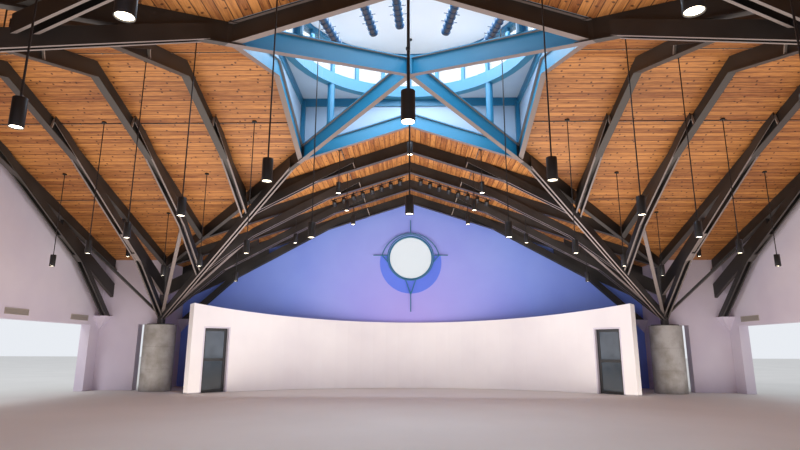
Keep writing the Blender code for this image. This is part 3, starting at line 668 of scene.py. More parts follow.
class Bench:
    """Blender's modelling tools, used on one new piece at a time."""

    @staticmethod
    def choose(*items: Object) -> None:
        """Select these pieces and nothing else, with the first one active."""
        bpy.ops.object.select_all(action="DESELECT")
        for item in items:
            item.select_set(True)
            bpy.context.view_layer.objects.active = items[0]

    @staticmethod
    def start(name: str, primitive: Callable, **settings: object) -> Object:
        """Add a primitive at its size and place.

        Args:
            name: the new object's name.
            primitive: Blender's operator that adds it.
            **settings: the operator's settings.

        Returns:
            The new object, selected and active.
        """
        Bench.choose()
        primitive(**settings)
        item = bpy.context.active_object
        item.name = item.data.name = name
        bpy.ops.object.transform_apply(location=True, rotation=True, scale=True)
        return item

    @staticmethod
    def block(name: str, middle: Sequence[float], size: Sequence[float],
              turn: Sequence[float] = (0, 0, 0)) -> Object:
        """Start a square-edged piece.

        Args:
            name: its name.
            middle: where its middle is.
            size: its three sides before it is turned.
            turn: its turns about X, Y and Z.

        Returns:
            The piece.
        """
        return Bench.start(name, bpy.ops.mesh.primitive_cube_add, size=1, location=middle,
                           rotation=turn, scale=size)

    @staticmethod
    def rod(name: str, radius: float, length: float, middle: Sequence[float] = (0, 0, 0),
            turn: Sequence[float] = (0, 0, 0), sides: int = 16) -> Object:
        """Start a round piece, upright before it is turned.

        Args:
            name: its name.
            radius: its radius.
            length: its length.
            middle: where its middle is.
            turn: its turns about X, Y and Z.
            sides: how many sides stand for its round.

        Returns:
            The piece.
        """
        return Bench.start(name, bpy.ops.mesh.primitive_cylinder_add, vertices=sides,
                           radius=radius, depth=length, location=middle, rotation=turn)

    @staticmethod
    def push(item: Object, test: Callable[[bmesh.types.BMFace], bool], shift: Sequence[float],
             rim: float = 0.0, swell: Sequence[float] = ()) -> None:
        """Inset the faces that pass a test where there is a rim, and push them out or in.

        Args:
            item: the piece.
            test: says of a face whether it is wanted.
            shift: how the faces move.
            rim: the width left round them.
            swell: how they are scaled afterwards.
        """
        Bench.choose(item)
        bpy.ops.object.mode_set(mode="EDIT")
        bpy.ops.mesh.select_mode(type="FACE")
        bpy.ops.mesh.select_all(action="DESELECT")
        shape = bmesh.from_edit_mesh(item.data)
        for face in shape.faces:
            face.select_set(bool(test(face)))
        bmesh.update_edit_mesh(item.data)
        if rim:
            bpy.ops.mesh.inset(thickness=rim)
        bpy.ops.mesh.extrude_region_move(TRANSFORM_OT_translate={"value": shift})
        if swell:
            bpy.ops.transform.resize(value=swell)
        bpy.ops.object.mode_set(mode="OBJECT")

    @staticmethod
    def apply(item: Object, kind: str, **settings: object) -> None:
        """Apply a modifier to a piece.

        Args:
            item: the piece.
            kind: the modifier's type.
            **settings: its settings.
        """
        Bench.choose(item)
        change = item.modifiers.new(kind.lower(), kind)
        for key, value in settings.items():
            setattr(change, key, value)
        bpy.ops.object.modifier_apply(modifier=change.name)

    @staticmethod
    def bevel(item: Object, width: float, segments: int = 2) -> None:
        """Round a piece's sharp edges."""
        Bench.apply(item, "BEVEL", width=width, segments=segments, limit_method="ANGLE",
                    angle_limit=BEVEL_OVER)

    @staticmethod
    def cut(item: Object, cutter: Object) -> None:
        """Take a cutter's shape out of a piece, and drop the cutter."""
        Bench.apply(item, "BOOLEAN", object=cutter, operation="DIFFERENCE", solver="EXACT")
        Bench.discard(cutter)

    @staticmethod
    def smooth(item: Object) -> None:
        """Shade a piece smooth, but for its sharp edges."""
        Bench.choose(item)
        bpy.ops.object.shade_smooth_by_angle(angle=SMOOTH_UNDER)

    @staticmethod
    def join(items: list[Object], name: str) -> Object:
        """Join pieces into one. Bare ones take the first one's first material.

        Args:
            items: the pieces; the first takes the others in.
            name: the joined piece's name.

        Returns:
            The joined piece.
        """
        first = items[0]
        for item in items:
            if first.data.materials and not item.data.materials:
                item.data.materials.append(first.data.materials[0])
        Bench.choose(*items)
        if len(items) > 1:
            bpy.ops.object.join()
        first.name = first.data.name = name
        return first

    @staticmethod
    def paint(item: Object, materials: Iterable[Material],
              second: Callable[[MeshPolygon], bool]) -> None:
        """Give a piece two materials.

        Args:
            item: the piece.
            materials: its first and second material.
            second: says of a face whether it takes the second one.
        """
        for material in materials:
            item.data.materials.append(material)
        for face in item.data.polygons:
            face.material_index = int(second(face))

    @staticmethod
    def lens(item: Object, rim: float, depth: float, materials: Iterable[Material]) -> None:
        """Recess a lens in the lower end of an upright case.

        Args:
            item: the case.
            rim: its wall's thickness.
            depth: how deep the lens lies.
            materials: the case's and the lens's.
        """
        inside = min(vertex.co.z for vertex in item.data.vertices) + depth / 2
        Bench.push(item, lambda face: face.normal.z < -NEARLY, (0, 0, depth), rim)
        Bench.paint(item, materials,
                    lambda face: face.normal.z < -NEARLY and face.center.z > inside)

    @staticmethod
    def copy(item: Object, name: str, place: Matrix) -> Object:
        """Copy a piece with its own mesh, moved to a place.

        Args:
            item: the piece to copy.
            name: the copy's name.
            place: where it goes, applied to the mesh.

        Returns:
            The copy.
        """
        mesh = item.data.copy()
        mesh.transform(place)
        mesh.name = name
        made = bpy.data.objects.new(name, mesh)
        bpy.context.scene.collection.objects.link(made)
        return made

    @staticmethod
    def discard(item: Object) -> None:
        """Remove a pattern piece that was only copied."""
        bpy.data.meshes.remove(item.data)


def finish_piece(item: Object, slot: str, *materials: Material) -> Object:
    """Give a new piece its materials and body.

    Args:
        item: the piece, in place.
        slot: the record's material slot; not used.
        *materials: its materials, or none where it has them already.

    Returns:
        The piece.
    """
    for material in materials:
        item.data.materials.append(material)
    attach(item, BODY)
    return item


# Sub-assemblies


@dataclass
class CadFinishes:
    """The finishes of the nodes that come with the frame, by the start of their names."""

    palette: Palette
    nodes: dict[str, tuple[str, ...]] = field(default_factory=lambda: {
        "cast_concrete": ("pier_",),
        "steel_bronze_paint": ("tree_",),
        "steel_bronze_paint_rafters": ("valley_beam_", "frame_", "end_frame_"),
        "steel_two_tone_paint": ("lantern_curb",),
        "steel_blue_paint": ("lantern_frame", "drum_frame", "round_window_frame", "wall_cross"),
        "steel_black_paint": ("ridge_pendant",),
        "pine_boards_along_y": ("deck_north", "deck_south"),
        "pine_boards_along_x": ("deck_west", "deck_east"),
        "plaster_periwinkle": ("gable_wall_north",),
        "plaster_pale_lavender": ("gable_wall_", "corner_wall_"),
        "plaster_white": ("screen_wall",),
        "board_pale_blue": ("lantern_upstand", "lantern_soffit"),
        "board_white": ("lantern_ceiling",),
        "zinc_sheet": ("roof_covering", "lantern_roof"),
        "float_glass": ("drum_glass", "round_window_glass"),
    })

    def build(self) -> int:
        """Give every node its finish.

        Returns:
            How many nodes were dressed.
        """
        finishes = {start: name for name, starts in self.nodes.items() for start in starts}
        for name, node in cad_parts.items():
            longest = max((start for start in finishes if name.startswith(start)), key=len)
            for slot in node.material_slots:
                slot.material = self.palette[finishes[longest]]
        return len(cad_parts)


@dataclass
class Pendants:
    """The cylinder lights of the bays, on thin stems under the deck."""

    palette: Palette
    radius: float = 0.0675
    length: float = 0.30
    wall: float = 0.008
    lens_rise: float = 0.012
    edge: float = 0.002
    stem: float = 0.011
    canopy: float = 0.055
    canopy_t: float = 0.035
    canopy_edge: float = 0.006
    # bay from the lantern, distance from the ridge on both sides, height of the underside
    side_arms: tuple[Triple, ...] = (
        (0.5, 1.79, 3.41), (1.45, 0.0, 3.41), (1.45, 3.742, 3.41), (2.40, 1.79, 3.41),
        (2.40, 5.613, 3.41), (3.5, 0.0, 3.41), (3.5, 3.742, 3.41), (3.5, 7.484, 4.27))
    north_arm: tuple[Triple, ...] = (
        (0.5, 1.871, 5.31), (1.5, 1.871, 5.31), (2.5, 1.871, 5.31),
        (2.5, 3.742, 4.70), (2.5, 5.613, 3.45), (3.5, 7.484, 3.49))
    # x, y and height of the underside of the lamps under the lantern's ceiling
    crossing: tuple[Triple, ...] = (
        (0.0, -1.87, 3.41), (-1.87, 0.0, 3.41), (1.87, 0.0, 3.41), (0.0, 1.87, 5.73))
    # arm, bay and distance from the ridge of the lamp that is a CAD node
    in_cad: tuple[Arm, float, float] = (Arm.SOUTH, 1.45, 0.0)
    cad_lens_t: float = 0.008
    cad_lens_drop: float = 0.003     # its middle below the case
    cad_lens_edge: float = 0.003
    collar_r: float = 0.022
    collar_t: float = 0.03
    collar_z: float = 4.15

    def build(self) -> int:
        """Hang all bay lights.

        Returns:
            How many there are.
        """
        lamp = Bench.rod("lamp_pattern", self.radius, self.length, (0, 0, self.length / 2),
                         sides=24)
        Bench.lens(lamp, self.wall, self.lens_rise, self.paints())
        Bench.bevel(lamp, self.edge)
        places = self.places()
        for count, (spot, ceiling) in enumerate(places, 1):
            hanger = self.hanger(ceiling - spot.z)
            parts = [Bench.copy(part, part.name, Matrix.Translation(spot))
                     for part in (lamp, hanger)]
            Bench.discard(hanger)
            item = Bench.join(parts, f"bay_pendant_{count:02d}")
            Bench.smooth(finish_piece(item, "black_metal"))
        Bench.discard(lamp)
        self.ridge_fittings()
        return len(places)

    def paints(self) -> list[Material]:
        """The materials of a lamp: its case and its lens."""
        return [self.palette["steel_black_paint"], self.palette["opal_lens"]]

    def hanger(self, drop: float) -> Object:
        """A stem and its canopy above a lamp.

        Args:
            drop: height of the ceiling above the lamp's underside.

        Returns:
            The pattern piece.
        """
        stem = Bench.rod("stem", self.stem, drop - self.length + SUNK,
                         (0, 0, (drop + self.length - SUNK) / 2), sides=8)
        canopy = Bench.rod("canopy", self.canopy, self.canopy_t, (0, 0, drop - self.canopy_t / 2))
        Bench.bevel(canopy, self.canopy_edge)
        return Bench.join([stem, canopy], "hanger_pattern")

    def places(self) -> list[tuple[Vector, float]]:
        """Where the lamps hang, without the one that is a CAD node.

        Returns:
            For each lamp, the middle of its underside and the height of its stem's end.
        """
        made = []
        for arm in Arm:
            rows = self.north_arm if arm is Arm.NORTH else self.side_arms
            for bay, off, height in rows:
                if (arm, bay, off) == self.in_cad:
                    continue
                for across in sorted({-off, off}):
                    spot = arm.turn @ Vector((across, frame_line(bay), height))
                    made.append((spot, deck_soffit(off) + SUNK))
        return made + [(Vector(spot), lantern_ceiling()) for spot in self.crossing]

    def ridge_fittings(self) -> None:
        """Fit the lens of the CAD node's lamp, and the collar on its stem."""
        low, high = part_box("ridge_pendant")
        x, y = (low[0] + high[0]) / 2, (low[1] + high[1]) / 2
        case, glow = self.paints()
        lens = Bench.rod("ridge_pendant_lens", self.radius - self.wall, self.cad_lens_t,
                         (x, y, low[2] - self.cad_lens_drop), sides=32)
        Bench.bevel(lens, self.cad_lens_edge)
        finish_piece(lens, "black_metal", glow)
        collar = Bench.rod("ridge_pendant_collar", self.collar_r, self.collar_t,
                           (x, y, self.collar_z), sides=24)
        Bench.bevel(collar, self.canopy_edge)
        Bench.smooth(finish_piece(collar, "black_metal", case))


@dataclass
class WallShadeDisc:
    """A thin half-round board of deeper blue on the north wall, under and beside the round window:
    painted shade, where the wall lies darker.
    """

    palette: Palette
    radius: float = 1.16
    hole: float = 0.86
    drop: float = 0.19           # its middle below the window's
    rise: float = 0.08           # its straight top above the window's middle
    thick: float = 0.008
    sides: int = 96
    cutter_t: float = 0.3

    def build(self) -> Object:
        """Cut the board from a round one.

        Returns:
            The board.
        """
        middle = WINDOW_MIDDLE - Vector((0, self.thick / 2, self.drop))
        turn = (pi / 2, 0, 0)
        item = Bench.rod("wall_shade_disc", self.radius, self.thick, middle, turn, self.sides)
        hole = Bench.rod("hole", self.hole, self.cutter_t, WINDOW_MIDDLE, turn, self.sides)
        reach = 2 * self.radius
        top = WINDOW_MIDDLE + Vector((0, 0, self.rise + reach / 2))
        above = Bench.block("above", top, (2 * reach, self.cutter_t, reach))
        Bench.cut(item, hole)
        Bench.cut(item, above)
        return finish_piece(item, "blue_plaster", self.palette["plaster_deep_periwinkle"])


@dataclass
class ScreenDoors:
    """The two glazed doors of the curved screen wall, each in a pale frame."""

    palette: Palette
    middle: Triple = (0.0, 1.45, 0.0)    # of the wall's curve
    radius: float = 8.925        # middle of the wall's thickness
    wall: float = 0.25
    angle: float = 0.7815        # radians from the middle of the wall
    width: float = 0.90
    head: float = 2.03
    frame_t: float = 0.045
    proud: float = 0.02
    leaf_t: float = 0.045
    rail: float = 0.085
    gap: float = 0.004
    pane_t: float = 0.012
    lever_z: float = 1.0
    lever_length: float = 0.12
    lever_t: float = 0.018
    lever_in: float = 0.05       # from the neck towards the middle of the leaf
    lever_out: float = 0.035     # from the leaf
    neck: float = 0.05
    neck_out: float = 0.02
    edge: float = 0.003

    def board(self, name: str, x: float, z: float, size: Triple,
              y: float = 0.0) -> Object:
        """A straight board about a place in the doorway.

        Args:
            name: its name.
            x: its middle across the doorway.
            z: its middle's height.
            size: its size across, through the wall and up.
            y: its middle's distance from the middle of the wall.

        Returns:
            The board with softened edges.
        """
        item = Bench.block(name, (x, y, z), size)
        Bench.bevel(item, self.edge)
        return item

    def lining(self) -> Object:
        """The frame: two jambs and a head, proud of the wall on both sides.

        Returns:
            The pattern piece, at the doorway's middle line.
        """
        deep = self.wall + 2 * self.proud
        across = (self.width - self.frame_t) / 2
        jambs = [self.board("jamb", side * across, self.head / 2,
                            (self.frame_t, deep, self.head)) for side in BOTH_SIDES]
        head = self.board("head", 0, self.head - self.frame_t / 2,
                          (self.width - 2 * self.frame_t, deep, self.frame_t))
        return Bench.join([*jambs, head], "lining_pattern")

    def leaf(self) -> Object:
        """The leaf: stiles and rails round two panes, with a lever handle.

        Returns:
            The pattern piece, at the doorway's middle line.
        """
        clear = self.width - 2 * self.frame_t - 2 * self.gap
        high = self.head - self.frame_t - 2 * self.gap
        base = self.gap + high / 2
        across = (clear - self.rail) / 2
        stiles = [self.board("stile", side * across, base, (self.rail, self.leaf_t, high))
                  for side in BOTH_SIDES]
        levels = (self.gap + self.rail / 2, self.lever_z, self.gap + high - self.rail / 2)
        rails = [self.board("rail", 0, z, (clear - 2 * self.rail, self.leaf_t, self.rail))
                 for z in levels]
        lever = self.board("lever", across - self.lever_in, self.lever_z,
                           (self.lever_length, self.lever_t, self.lever_t),
                           -self.leaf_t / 2 - self.lever_out)
        neck = self.board("neck", across, self.lever_z, (self.lever_t, self.neck, self.lever_t),
                          -self.leaf_t / 2 - self.neck_out)
        solid = Bench.join([*stiles, *rails, lever, neck], "leaf_pattern")
        pane = self.board("pane", 0, base, (clear - self.rail, self.pane_t, high - self.rail))
        both = [self.palette["steel_black_paint"], self.palette["door_dark_glazing"]]
        Bench.paint(solid, both, lambda face: False)
        Bench.paint(pane, both, lambda face: True)
        return Bench.join([solid, pane], "leaf_pattern")

    def build(self) -> int:
        """Hang both doors.

        Returns:
            How many doors there are.
        """
        lining, leaf = self.lining(), self.leaf()
        for side, word in ((1, "west"), (-1, "east")):
            place = (Matrix.Translation(self.middle)
                     @ Matrix.Rotation(side * self.angle, 4, "Z")
                     @ Matrix.Translation((0, self.radius, 0)))
            finish_piece(Bench.copy(lining, f"screen_door_lining_{word}", place), "plaster",
                         self.palette["door_pale_lacquer"])
            finish_piece(Bench.copy(leaf, f"screen_door_leaf_{word}", place), "black_metal")
        Bench.discard(lining)
        Bench.discard(leaf)
        return 2


@dataclass
class WallGrilles:
    """Air grilles on the side gable walls, over the low openings."""

    palette: Palette
    width: float = 0.93
    height: float = 0.17
    rim: float = 0.018
    proud: float = 0.014
    recess: float = 0.010
    edge: float = 0.002
    slats: int = 8
    slat: Pair = (0.012, 0.002)
    slat_turn: float = 35.0      # degrees
    middle_z: float = 2.30
    places: tuple[float, ...] = (-7.33, -4.46, 4.46, 7.33)

    def grille(self) -> Object:
        """One grille on a wall whose face is the plane y = 0, looking towards -Y.

        Returns:
            The pattern piece.
        """
        plate = Bench.block("plate", (0, -self.proud / 2, 0),
                            (self.width, self.proud, self.height))
        Bench.push(plate, lambda face: face.normal.y < -NEARLY, (0, self.recess, 0), self.rim)
        Bench.bevel(plate, self.edge)
        clear = self.height - 2 * self.rim
        slats = [Bench.block("slat",
                             (0, -self.proud / 2, -clear / 2 + (step + 0.5) * clear / self.slats),
                             (self.width - 2 * self.rim, *self.slat),
                             (radians(self.slat_turn), 0, 0)) for step in range(self.slats)]
        return Bench.join([plate, *slats], "grille_pattern")

    def build(self) -> int:
        """Fix the grilles to both side gable walls.

        Returns:
            How many there are.
        """
        pattern = self.grille()
        spots = [(arm, across) for arm in (Arm.WEST, Arm.EAST) for across in self.places]
        for count, (arm, across) in enumerate(spots, 1):
            place = arm.turn @ Matrix.Translation((across, GABLE_WALL_IN, self.middle_z))
            finish_piece(Bench.copy(pattern, f"wall_grille_{count}", place), "pale_board",
                         self.palette["steel_grey_paint"])
        Bench.discard(pattern)
        return len(spots)


@dataclass
class Conduits:
    """Thin pipes under the deck along the arms, which feed the lamps."""

    palette: Palette
    radius: float = 0.009
    sides: tuple[float, ...] = (1.83, 4.94)
    near_ridge: dict[Arm, float] = field(default_factory=lambda: {Arm.WEST: -0.72,
                                                                  Arm.EAST: 0.72})
    begin: float = 0.15          # from the lantern's curb or the valley
    end: float = GABLE_WALL_IN - 0.005
    clip: Triple = (0.05, 0.02, 0.022)
    clip_rise: float = 0.002     # its middle over the pipe's
    first_clip: float = 0.25
    last_clip: float = 0.1       # least distance to the end
    clip_every: float = FRAME_SPACING / 2

    def pipe(self, across: float, start: float) -> Object:
        """One pipe of the north arm, with its clips.

        Args:
            across: distance from the ridge, with its sign.
            start: where it begins, from the crossing.

        Returns:
            The pattern piece.
        """
        z = deck_soffit(abs(across)) - self.radius
        parts = [Bench.rod("pipe", self.radius, self.end - start,
                           (across, (self.end + start) / 2, z), (pi / 2, 0, 0), sides=10)]
        line = start + self.first_clip
        while line < self.end - self.last_clip:
            parts.append(Bench.block("clip", (across, line, z + self.clip_rise), self.clip))
            line += self.clip_every
        return Bench.join(parts, "pipe_pattern")

    def build(self) -> int:
        """Fix the pipes of all arms.

        Returns:
            How many pipes there are.
        """
        pipes = []
        for off in self.sides:
            start = max(HALF_OPENING, off) + self.begin
            pipes += [self.pipe(side * off, start) for side in BOTH_SIDES]
        whole = Bench.join(pipes, "conduit_pattern")
        for arm in Arm:
            item = Bench.copy(whole, f"conduits_{arm.name.lower()}", arm.turn)
            if arm in self.near_ridge:
                more = self.pipe(self.near_ridge[arm], HALF_OPENING + self.begin)
                more.data.transform(arm.turn)
                item = Bench.join([item, more], item.name)
            Bench.smooth(finish_piece(item, "dark_steel", self.palette["steel_bronze_paint"]))
        Bench.discard(whole)
        return len(Arm) * len(self.sides) * 2 + len(self.near_ridge)


@dataclass
class RafterPlates:
    """Pale stiffening plates across the rafters' webs, square to their slope."""

    palette: Palette
    across: float = 1.60
    width: float = 0.028
    reach: float = 0.055         # out from the web on each side
    frames: tuple[int, ...] = (1, 2, 3, 4)
    web: float = RAFTER_DEPTH - 0.03
    web_rise: float = 0.024      # the web's foot over the rafter's underside
    spare: float = 0.02          # by which a plate is shorter than the web
    edge: float = 0.002

    def build(self) -> int:
        """Fix the plates of all frames.

        Returns:
            How many there are.
        """
        z = RIDGE_SOFFIT - PITCH * self.across + self.web_rise + self.web / 2
        size = (self.width, 2 * self.reach, self.web - self.spare)
        for arm in Arm:
            plates = [Bench.block("plate", (side * self.across, frame_line(number), z), size,
                                  (0, side * SLOPE, 0))
                      for number in self.frames for side in BOTH_SIDES]
            item = Bench.join(plates, f"rafter_plates_{arm.name.lower()}")
            item.data.transform(arm.turn)
            Bench.bevel(item, self.edge, 1)
            finish_piece(item, "dark_steel", self.palette["steel_grey_paint"])
        return len(Arm) * len(self.frames) * 2


@dataclass
class StageSpots:
    """Two rows of small dark spotlights on bars that follow the north arm's slopes."""

    palette: Palette
    line: float = 7.377
    first: float = 0.34
    last: float = 2.50
    each_side: int = 8
    bar_r: float = 0.014
    bar_drop: float = 0.15       # below the deck
    bar_spare: float = 0.3       # by which it is longer than the row
    hook_r: float = 0.006
    hook_off: float = 0.09       # beside a spotlight
    spot_drop: float = 0.13      # below the bar
    radius: float = 0.068
    length: float = 0.17
    wall: float = 0.008
    lens_rise: float = 0.02
    edge: float = 0.004
    fork: Pair = (0.005, 0.02)
    fork_off: float = 0.004      # from the can
    bridge_t: float = 0.008
    clamp: Triple = (0.03, 0.04, 0.05)
    clamp_z: float = 0.012
    aim: float = 40.0            # degrees down from the level, towards the north wall

    def below(self, side: int, off: float, drop: float) -> Vector:
        """A place in the row, by its side, its distance from the ridge and its drop."""
        return Vector((side * off, self.line, deck_soffit(off) - drop))

    def spot(self) -> Object:
        """One spotlight in its fork, hanging from the origin.

        Returns:
            The pattern piece.
        """
        body = Bench.rod("can", self.radius, self.length, sides=20)
        Bench.lens(body, self.wall, self.lens_rise,
                   [self.palette["steel_black_paint"], self.palette["opal_lens"]])
        Bench.bevel(body, self.edge)
        body.data.transform(Matrix.Translation((0, 0, -self.spot_drop))
                            @ Matrix.Rotation(radians(90 - self.aim), 4, "X"))
        thick, wide = self.fork
        out = self.radius + self.fork_off
        arms = [Bench.block("fork", (side * out, 0, -self.spot_drop / 2),
                            (thick, wide, self.spot_drop)) for side in BOTH_SIDES]
        bridge = Bench.block("fork", (0, 0, -self.bridge_t / 2),
                             (2 * out + thick, wide, self.bridge_t))
        clamp = Bench.block("clamp", (0, 0, self.clamp_z), self.clamp)
        return Bench.join([body, *arms, bridge, clamp], "spot_pattern")

    def build(self) -> int:
        """Hang both bars with their spotlights.

        Returns:
            How many spotlights there are.
        """
        pattern = self.spot()
        step = (self.last - self.first) / (self.each_side - 1)
        middle = (self.first + self.last) / 2
        length = (self.last - self.first + self.bar_spare) / cos(SLOPE)
        for side, word in zip(BOTH_SIDES, ("west", "east")):
            bar = Bench.rod("bar", self.bar_r, length, self.below(side, middle, self.bar_drop),
                            (0, pi / 2 + side * SLOPE, 0), sides=12)
            bar.data.materials.append(self.palette["steel_black_paint"])
            hooks = [Bench.rod("hook", self.hook_r, self.bar_drop + SUNK,
                               self.below(side, off + self.hook_off, self.bar_drop / 2), sides=8)
                     for off in (self.first, middle, self.last)]
            places = [self.below(side, self.first + number * step, self.bar_drop)
                      for number in range(self.each_side)]
            spots = [Bench.copy(pattern, "spot", Matrix.Translation(place)) for place in places]
            item = Bench.join([bar, *hooks, *spots], f"spot_row_{word}")
            Bench.smooth(finish_piece(item, "black_metal"))
        Bench.discard(pattern)
        return self.each_side * 2


@dataclass
class DrumLights:
    """Five long spotlights on a pipe across the lantern's drum, aimed at the north end."""

    palette: Palette
    pipe_at: Pair = (-1.25, 8.12)     # y and height
    pipe_half: float = 2.20
    pipe_r: float = 0.024
    rod_r: float = 0.012
    rods: tuple[float, ...] = (-1.6, 0.3, 1.6)
    body_r: float = 0.085
    length: float = 1.15
    wall: float = 0.012
    lens_rise: float = 0.03
    fins: int = 9
    fin_proud: float = 0.016
    fin_t: float = 0.02
    fin_in: float = 0.05         # the first one's distance from the lower end
    knobs: tuple[float, ...] = (0.28, 0.46)
    knob_r: float = 0.008
    knob_proud: float = 0.08
    # x on the pipe, and the x, y and height of the lower end
    places: tuple[tuple[float, Triple], ...] = (
        (-2.02, (-1.50, 0.23, 7.60)), (-1.00, (-0.72, -0.14, 7.60)),
        (-0.29, (-0.19, -0.38, 7.60)), (1.00, (0.72, -0.15, 7.60)),
        (2.08, (1.60, 0.28, 7.60)))

    def barrel(self) -> Object:
        """One barrel along +Z with its lower end at the origin, finned and lensed.

        Returns:
            The pattern piece.
        """
        body = Bench.rod("barrel", self.body_r, self.length, (0, 0, self.length / 2))
        Bench.lens(body, self.wall, self.lens_rise,
                   [self.palette["steel_blue_dark_paint"], self.palette["opal_lens"]])
        step = (self.length - 2 * self.fin_in) / self.fins
        fins = [Bench.rod("fin", self.body_r + self.fin_proud, self.fin_t,
                          (0, 0, self.fin_in + number * step)) for number in range(self.fins)]
        knobs = [Bench.rod("knob", self.knob_r, 2 * (self.body_r + self.knob_proud), (0, 0, z),
                           (0, pi / 2, 0), sides=8) for z in self.knobs]
        return Bench.join([body, *fins, *knobs], "barrel_pattern")

    def build(self) -> int:
        """Hang the pipe and its lights.

        Returns:
            How many lights there are.
        """
        y, z = self.pipe_at
        pipe = Bench.rod("drum_light_pipe", self.pipe_r, 2 * self.pipe_half, (0, y, z),
                         (0, pi / 2, 0))
        ceiling = lantern_ceiling()
        rods = [Bench.rod("rod", self.rod_r, ceiling - z, (x, y, (ceiling + z) / 2), sides=10)
                for x in self.rods]
        pipe = Bench.join([pipe, *rods], "drum_light_pipe")
        Bench.smooth(finish_piece(pipe, "blue_steel", self.palette["steel_blue_paint"]))
        pattern = self.barrel()
        for number, (x, low) in enumerate(self.places, 1):
            way = Vector((x, y, z - self.body_r - self.pipe_r)) - Vector(low)
            place = Matrix.Translation(low) @ way.to_track_quat("Z", "Y").to_matrix().to_4x4()
            item = Bench.copy(pattern, f"drum_light_{number}", place)
            Bench.smooth(finish_piece(item, "black_metal"))
        Bench.discard(pattern)
        return len(self.places)


@dataclass
class RoofSeams:
    """Standing seams of the metal covering, from the ridges down to the eaves."""

    palette: Palette
    spacing: float = 0.45
    width: float = 0.014
    height: float = 0.032
    sunk: float = 0.004          # into the covering
    fold: float = 0.006          # height of the folded top
    fold_wide: float = 1.6       # its width against the seam's
    edge: float = EAVE_WALL_IN + WALL_T + OVERHANG
    first: float = 2.95
    last: float = GABLE_WALL_IN + WALL_T + OVERHANG - 0.05
    short: float = 0.02          # of the valley or the edge

    def seam(self, reach: float) -> Object:
        """One seam from the ridge down the slope towards +X, at the crossing's middle.

        Args:
            reach: how far it runs from the ridge, on plan.

        Returns:
            The pattern piece.
        """
        place = (reach / 2, 0, roof_top(reach / 2) + self.height / 2 - self.sunk)
        item = Bench.block("seam_pattern", place, (reach / cos(SLOPE), self.width, self.height),
                           (0, SLOPE, 0))
        Bench.push(item, lambda face: face.normal.z > NEARLY, (0, 0, self.fold),
                   swell=(1, self.fold_wide, 1))
        return item

    def build(self) -> int:
        """Lay the seams of all slopes.

        Returns:
            How many seams there are.
        """
        steps = int((self.last - self.first) / self.spacing) + 1
        for arm in Arm:
            seams = []
            for step in range(steps):
                line = self.first + step * self.spacing
                pattern = self.seam(min(line, self.edge) - self.short)
                for side in (0.0, pi):
                    place = (arm.turn @ Matrix.Translation((0, line, 0))
                             @ Matrix.Rotation(side, 4, "Z"))
                    seams.append(Bench.copy(pattern, "seam", place))
                Bench.discard(pattern)
            item = Bench.join(seams, f"roof_seams_{arm.name.lower()}")
            finish_piece(item, "roofing", self.palette["zinc_sheet"])
        return len(Arm) * steps * 2


@dataclass
class RidgeCaps:
    """Folded metal caps over the ridges of the four arms."""

    palette: Palette
    wing: float = 0.17
    thick: float = 0.006
    rise: float = 0.040          # over the covering, clear of the seams
    first: float = 2.75
    last: float = GABLE_WALL_IN + WALL_T + OVERHANG - 0.01

    def build(self) -> int:
        """Lay the caps.

        Returns:
            How many there are.
        """
        long, line = self.last - self.first, (self.first + self.last) / 2
        parts = []
        for side in BOTH_SIDES:
            off = side * self.wing / 2 * cos(SLOPE)
            top = roof_top(abs(off)) + self.rise - self.thick / 2
            foot = roof_top(abs(2 * off)) + self.rise / 2
            parts.append(Bench.block("wing", (off, line, top), (self.wing, long, self.thick),
                                     (0, side * SLOPE, 0)))
            parts.append(Bench.block("hem", (2 * off, line, foot),
                                     (self.thick, long, self.rise)))
        pattern = Bench.join(parts, "ridge_cap_pattern")
        for arm in Arm:
            item = Bench.copy(pattern, f"ridge_cap_{arm.name.lower()}", arm.turn)
            finish_piece(item, "roofing", self.palette["zinc_sheet"])
        Bench.discard(pattern)
        return len(Arm)


# Stage, light and camera


@dataclass(frozen=True)
class SoftLight:
    """One wide, soft light that isn't seen itself."""

    name: str
    place: Triple
    aim: Triple
    size: Pair
    power: float                 # watts
    colour: str

    def hang(self) -> None:
        """Hang the light, facing its aim."""
        data = bpy.data.lights.new(self.name, "AREA")
        data.shape = "RECTANGLE"
        data.size, data.size_y = self.size
        data.energy = self.power
        data.color = linear(self.colour)[:3]
        item = bpy.data.objects.new(self.name, data)
        bpy.context.scene.collection.objects.link(item)
        way = Vector(self.aim) - Vector(self.place)
        item.matrix_world = (Matrix.Translation(self.place)
                             @ way.to_track_quat("-Z", "Y").to_matrix().to_4x4())
        item.visible_camera = False


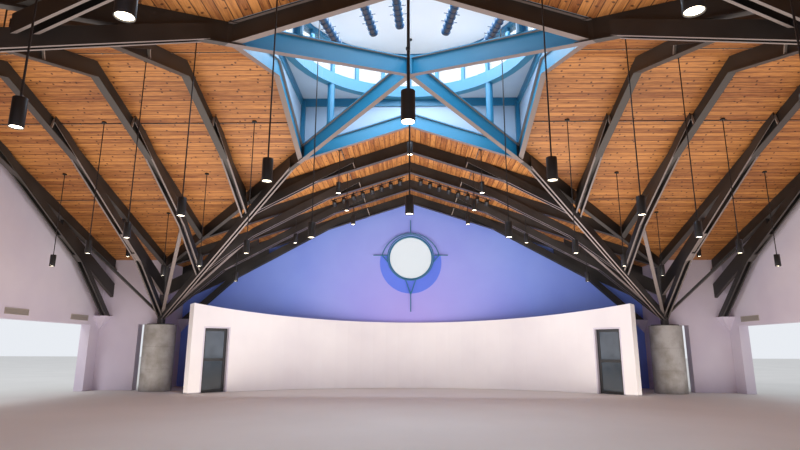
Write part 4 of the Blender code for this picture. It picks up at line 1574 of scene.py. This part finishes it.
@dataclass
class Studio:
    """The pale floor, the soft light and the camera."""

    floor_size: float = 160.0
    floor_drop: float = 0.004
    sky: str = "#EEF2F8"
    sky_power: float = 0.95
    lights: tuple[SoftLight, ...] = (
        SoftLight("hall_wash", (0, 0, 0.03), (0, 0, 6), (20, 15), 1400, "#FFF6EA"),
        SoftLight("north_wash", (0, 4.4, 2.1), (0, 8.8, 5.6), (11, 3), 300, "#F4F6FF"),
        SoftLight("lantern_day", (0, 0, 8.5), (0, 0, 0), (4.6, 4.6), 500, "#E6F1FF"),
        SoftLight("outside_key", (-24, -30, 30), (0, 0, 4), (18, 18), 7000, "#FFFFFF"))
    eye: Triple = (0.0286, -10.314, 1.36)
    focal_px: float = 555.99
    image_width: int = 800
    film_mm: float = 36.0
    pan: float = 1.1955
    tilt: float = 12.538
    roll: float = 0.1654
    seen: Pair = (0.05, 400.0)        # nearest and farthest

    def build(self) -> None:
        """Set up floor, light, camera and the picture's tone curve."""
        self.floor()
        self.sky_light()
        for light in self.lights:
            light.hang()
        self.camera()
        bpy.context.scene.view_settings.view_transform = "Standard"

    def floor(self) -> None:
        """Lay the pale floor."""
        item = Bench.start("studio_floor", bpy.ops.mesh.primitive_plane_add,
                           size=self.floor_size, location=(0, 0, -self.floor_drop))
        item.data.materials.append(
            Plaster("studio_paper", "#D9D7D4", 0.9, shade="#D3D1CE").build())

    def sky_light(self) -> None:
        """Set the even light of the sky."""
        world = bpy.data.worlds.new("studio_sky")
        world.use_nodes = True
        back = world.node_tree.nodes["Background"]
        back.inputs["Color"].default_value = linear(self.sky)
        back.inputs["Strength"].default_value = self.sky_power
        bpy.context.scene.world = world

    def camera(self) -> None:
        """Place the camera at the photograph's viewing angle."""
        data = bpy.data.cameras.new("photo_camera")
        data.sensor_width = self.film_mm
        data.lens = self.film_mm * self.focal_px / self.image_width
        data.clip_start, data.clip_end = self.seen
        item = bpy.data.objects.new("photo_camera", data)
        bpy.context.scene.collection.objects.link(item)
        turn = (Matrix.Rotation(radians(self.pan), 4, "Z")
                @ Matrix.Rotation(radians(90 + self.tilt), 4, "X")
                @ Matrix.Rotation(radians(self.roll), 4, "Z"))
        item.matrix_world = Matrix.Translation(self.eye) @ turn
        bpy.context.scene.camera = item


def main() -> None:
    """Build the sub-assemblies in order and report each."""
    logging.basicConfig(level=logging.INFO, format="%(name)s: %(message)s")
    palette = Palette()
    LOG.info("dressed %d CAD nodes", CadFinishes(palette).build())
    LOG.info("hung %d bay pendants", Pendants(palette).build())
    LOG.info("fixed %s to the north wall", WallShadeDisc(palette).build().name)
    LOG.info("hung %d screen doors", ScreenDoors(palette).build())
    LOG.info("fixed %d wall grilles", WallGrilles(palette).build())
    LOG.info("ran %d conduits", Conduits(palette).build())
    LOG.info("fixed %d rafter plates", RafterPlates(palette).build())
    LOG.info("hung %d small spotlights", StageSpots(palette).build())
    LOG.info("hung %d lantern lights", DrumLights(palette).build())
    LOG.info("laid %d roof seams", RoofSeams(palette).build())
    LOG.info("laid %d ridge caps", RidgeCaps(palette).build())
    Studio().build()
    LOG.info("stage, light and camera are set")


if __name__ == "__main__":
    main()
